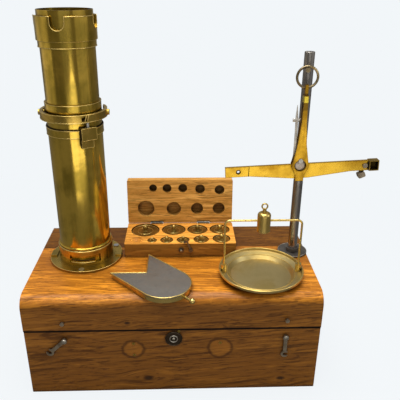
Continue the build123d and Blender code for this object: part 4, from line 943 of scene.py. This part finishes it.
# %% Post and beam
post_mid, post_half, _, _ = measure("post_foot")
_, rod_half, _, rod_high = measure("balance_post")
FOOT_STEP = 0.1225
bead("post_top_edge", circle((post_mid.x, post_mid.y, rod_high.z - THIN), rod_half.x - FINE),
     THIN, screw_steel, "lid")
bead("post_foot_edge", circle((post_mid.x, post_mid.y, FOOT_STEP), post_half.x - FINE),
     FINE, screw_steel, "lid")
BEAM_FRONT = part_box("beam")[0].y
BEAM_HOLE = (0.07081, BEAM_FRONT, 0.227118)
SCRIBED_LINE = [(0.0823, BEAM_FRONT, 0.2330), (0.0822, BEAM_FRONT, 0.2328),
                (0.0819, BEAM_FRONT, 0.2222), (0.0818, BEAM_FRONT, 0.2220)]
BEARING, BEARING_R = (measure("beam_fork")[0].x, BEAM_FRONT - 0.0001, 0.2346), 0.0052
HOLE_R = 0.0021
bead("beam_hole_edge", circle(BEAM_HOLE, HOLE_R, axis="y", count=40), 0.0005, dark_line,
     "beam")
bead("beam_scribed_line", SCRIBED_LINE, THIN, dark_line, "beam", closed=False, out=FRONT)
turned("knife_bearing", BEARING, dome(BEARING_R, THIN, 0.0002), bearing_steel, "beam",
       "y", -1.0)
print("beam's front at", round(BEAM_FRONT, 4))

# %% [markdown]
# The pointer is filed from thin sheet: a blade that narrows to its tip, with a short cross
# bar two thirds of the way up. The packed one is plainer and stands mostly behind the fork,
# so this one takes its place in the picture.

# %% Pointer
POINTER_FOOT, POINTER_TIP, POINTER_THICK = (0.1308, 0.2440), (0.1293, 0.3004), 0.0012
# The share of the way up, and half the blade's width there in millimetres.
POINTER_HALF_MM = ((0, 0.01), (0.002, 1.9), (0.1, 1.8), (0.3, 1.6), (0.5, 1.4), (0.68, 1.4),
                   (0.682, 4.2), (0.74, 4.2), (0.742, 1.4), (0.76, 1.5), (0.85, 1.0),
                   (0.95, 0.5), (0.99, 0.2), (1, 0.01))


def blade(name, x, z, half, thick, material, body, count=12):
    """A flat strip: at each station a rounded oblong, half wide and thick / 2 deep.

    The oblong is the curve whose x and y are the square roots of |cos v| and |sin v| with
    their signs. It thins where the strip is narrow, so both ends narrow to a fine point.
    """
    v = np.linspace(0, 2 * np.pi, count, endpoint=False)
    wide, deep = (np.sign(wave) * np.abs(wave) ** 0.5 for wave in (np.cos(v), np.sin(v)))
    depth = np.minimum(half / half.max() * 4, 1.0) * thick / 2
    level = np.broadcast_to(z[:, None], (len(z), count))
    points = np.stack([x[:, None] + half[:, None] * wide, depth[:, None] * deep, level], -1)
    return add_piece(name, points.reshape(-1, 3), grid_faces(len(x), count, False), material,
                     body)


share, half_mm = np.array(POINTER_HALF_MM).T
pointer_x, pointer_z = (foot + (tip - foot) * share
                        for foot, tip in zip(POINTER_FOOT, POINTER_TIP))
pointer = blade("pointer_blade", pointer_x, pointer_z, half_mm / 1000, POINTER_THICK,
                pointer_metal, "beam")
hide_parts("pointer")

# %% [markdown]
# The set is a pale floor and soft lamps. The floor shows one even colour to the camera and
# darkens only in the object's shadow. Polished metal shows what stands round it, so in
# mirrors the floor looks like a bench in a dim room instead.

# %% Floor
BACKGROUND, BENCH = (0.888, 0.922, 0.947), (0.17, 0.16, 0.14)
FLOOR_HALF, SHADOW_NEAR, SHADOW_FAR = 3.0, 0.2, 0.7
bpy.context.scene.view_settings.view_transform = "Standard"


def glow(start, colour, strength):
    """A glow of one colour."""
    return start.node("ShaderNodeEmission", Color=(*colour, 1), Strength=strength)


def mix_shaders(share, low, high):
    """The shader low where the share is 0, and high where it is 1."""
    return share.node("ShaderNodeMixShader", i0=share, i1=low, i2=high)


def floor_paint(colour, mirrored):
    """Shows one colour to the camera, a dimmer one in mirrors, and takes a faint shadow."""
    material, place = new_material("floor_paint")
    seen = place.node("ShaderNodeLightPath", out="Is Camera Ray")
    in_mirror = place.node("ShaderNodeLightPath", out="Is Glossy Ray")
    away = place.node("ShaderNodeVectorMath", {"operation": "LENGTH"}, out=1, i0=place)
    paint = place.node("ShaderNodeBsdfDiffuse", Color=(*colour, 1))
    clear = seen * (away.step(SHADOW_NEAR, SHADOW_FAR) * 0.08 + 0.92)
    dimmed = mix_shaders(in_mirror, paint, glow(place, mirrored, 1.0))
    place.node("ShaderNodeOutputMaterial",
               Surface=mix_shaders(clear, dimmed, glow(place, colour, 1.0)))
    return material


def card(name, corners, faces, material, mirror_only=True):
    """A sheet of the set, which isn't part of the object."""
    mesh = bpy.data.meshes.new(name)
    mesh.from_pydata(corners, [], faces)
    mesh.materials.append(material)
    made = bpy.data.objects.new(name, mesh)
    bpy.context.collection.objects.link(made)
    if mirror_only:
        made.visible_camera = made.visible_diffuse = made.visible_shadow = False


def sheet(name, corners, height, material, mirror_only=True):
    """A flat card with its (x, y) corners at one height."""
    card(name, [(x, y, height) for x, y in corners], [(0, 1, 2, 3)], material, mirror_only)


SQUARE = ((-1, -1), (1, -1), (1, 1), (-1, 1))
sheet("floor", [(FLOOR_HALF * x, FLOOR_HALF * y) for x, y in SQUARE], 0,
      floor_paint(BACKGROUND, BENCH), mirror_only=False)
print("floor", FLOOR_HALF * 2, "m wide")

# %% [markdown]
# Bright and dark cards stand where a photographer would put them, on a circle round the
# column, with one bright sheet of paper on the bench in front. The camera doesn't see them,
# and they cast no shadow: they only give the tubes their bright stripe and brown bands.

# %% Cards round the column
FAN_POINTS, FAN_R, FAN_FOOT = 12, 1.2, 0.003


def glow_paint(name, colour, strength=1.0):
    """A card that glows evenly."""
    material, place = new_material(name)
    place.node("ShaderNodeOutputMaterial", Surface=glow(place, colour, strength))
    return material


def fan(name, start, end, tops, material):
    """An upright sheet bent round the column, from one bearing to another in degrees."""
    along = np.linspace(0, 1, FAN_POINTS)
    heights = np.interp(along, np.linspace(0, 1, len(tops)), tops)
    foot = circle((CX, CY, FAN_FOOT), FAN_R, start, end, count=FAN_POINTS)
    top = np.column_stack([foot[:, :2], heights])
    faces = [(i, i + 1, FAN_POINTS + i + 1, FAN_POINTS + i) for i in range(FAN_POINTS - 1)]
    card(name, np.concatenate([foot, top]).tolist(), faces, material)


paper = glow_paint("paper_glow", (1.0, 0.93, 0.78), 1.5)
side_wall = glow_paint("side_glow", (0.55, 0.5, 0.42))
dark_wall = glow_paint("dark_glow", (0.15, 0.135, 0.11))
dim_wall = glow_paint("dim_glow", (0.36, 0.34, 0.30))
sheet("paper_sheet", ((-0.19, -0.50), (0.40, -0.50), (0.52, -1.12), (-0.36, -1.15)), 0.002,
      paper)
# A card's name, its two bearings, its heights from one to the other, and its glow.
FANS = (("bright_fan", -104, -60, (0.004, 0.03, 0.11, 0.19, 0.06), paper),
        ("side_fan_left", -215, -150, (0.5, 0.5), side_wall),
        ("dark_fan_left", -150, -104, (0.5, 0.5), dark_wall),
        ("dark_fan_near", -60, -46, (0.5, 0.5), dark_wall),
        ("dim_fan_right", -46, 8, (0.45, 0.45), dim_wall),
        ("dark_fan_right", 8, 70, (0.5, 0.5), dark_wall))
for fan_card in FANS:
    fan(*fan_card)
print("cards", len(FANS) + 1)

# %% [markdown]
# The room's light comes evenly from all round. The lamps add shape: a large one over the
# case makes its top golden and leaves its front darker, a strip in front lifts the lid's
# rounded edge, and two weaker ones light the front from the left and the post from the right.

# %% Room light and lamps
world = bpy.data.worlds.new("world")
bpy.context.scene.world = world
world.use_nodes = True
world.node_tree.nodes.clear()
sky = Value(world.node_tree)
lit = sky.node("ShaderNodeBackground", Color=(0.84, 0.83, 0.80, 1), Strength=0.36)
shown = sky.node("ShaderNodeBackground", Color=(*BACKGROUND, 1), Strength=1.0)
seen = sky.node("ShaderNodeLightPath", out="Is Camera Ray")
sky.node("ShaderNodeOutputWorld", Surface=mix_shaders(seen, lit, shown))


def lamp(name, place, target, size, power, colour):
    """A rectangular area lamp at a place, facing a target."""
    data = bpy.data.lights.new(name, "AREA")
    data.shape, data.size, data.size_y = "RECTANGLE", size[0], size[1]
    data.energy, data.color = power, colour
    made = bpy.data.objects.new(name, data)
    bpy.context.collection.objects.link(made)
    way = Vector(target) - Vector(place)
    made.matrix_world = (Matrix.Translation(place)
                         @ way.to_track_quat("-Z", "Y").to_matrix().to_4x4())
    made.visible_camera = False


WARM, WARMER, COOL = (1.0, 0.97, 0.92), (1.0, 0.95, 0.86), (0.95, 0.97, 1.0)
# A lamp's name, its place and target, its width and height, its watts and its colour.
LAMPS = (("top_lamp", (-0.10, 0.05, 1.5), (0, 0, 0.15), (1.0, 0.9), 17.0, WARM),
         ("front_strip", (-0.35, -1.2, 1.0), (-0.05, 0, 0.2), (0.3, 0.9), 2.0, WARMER),
         ("edge_strip", (0.0, -0.62, 1.25), (0, -0.07, 0.12), (1.3, 0.22), 4.0, WARM),
         ("right_lamp", (1.2, -0.4, 0.8), (0.05, 0, 0.2), (0.4, 0.7), 3.0, COOL))
for area_lamp in LAMPS:
    lamp(*area_lamp)
print("lamps", len(LAMPS))
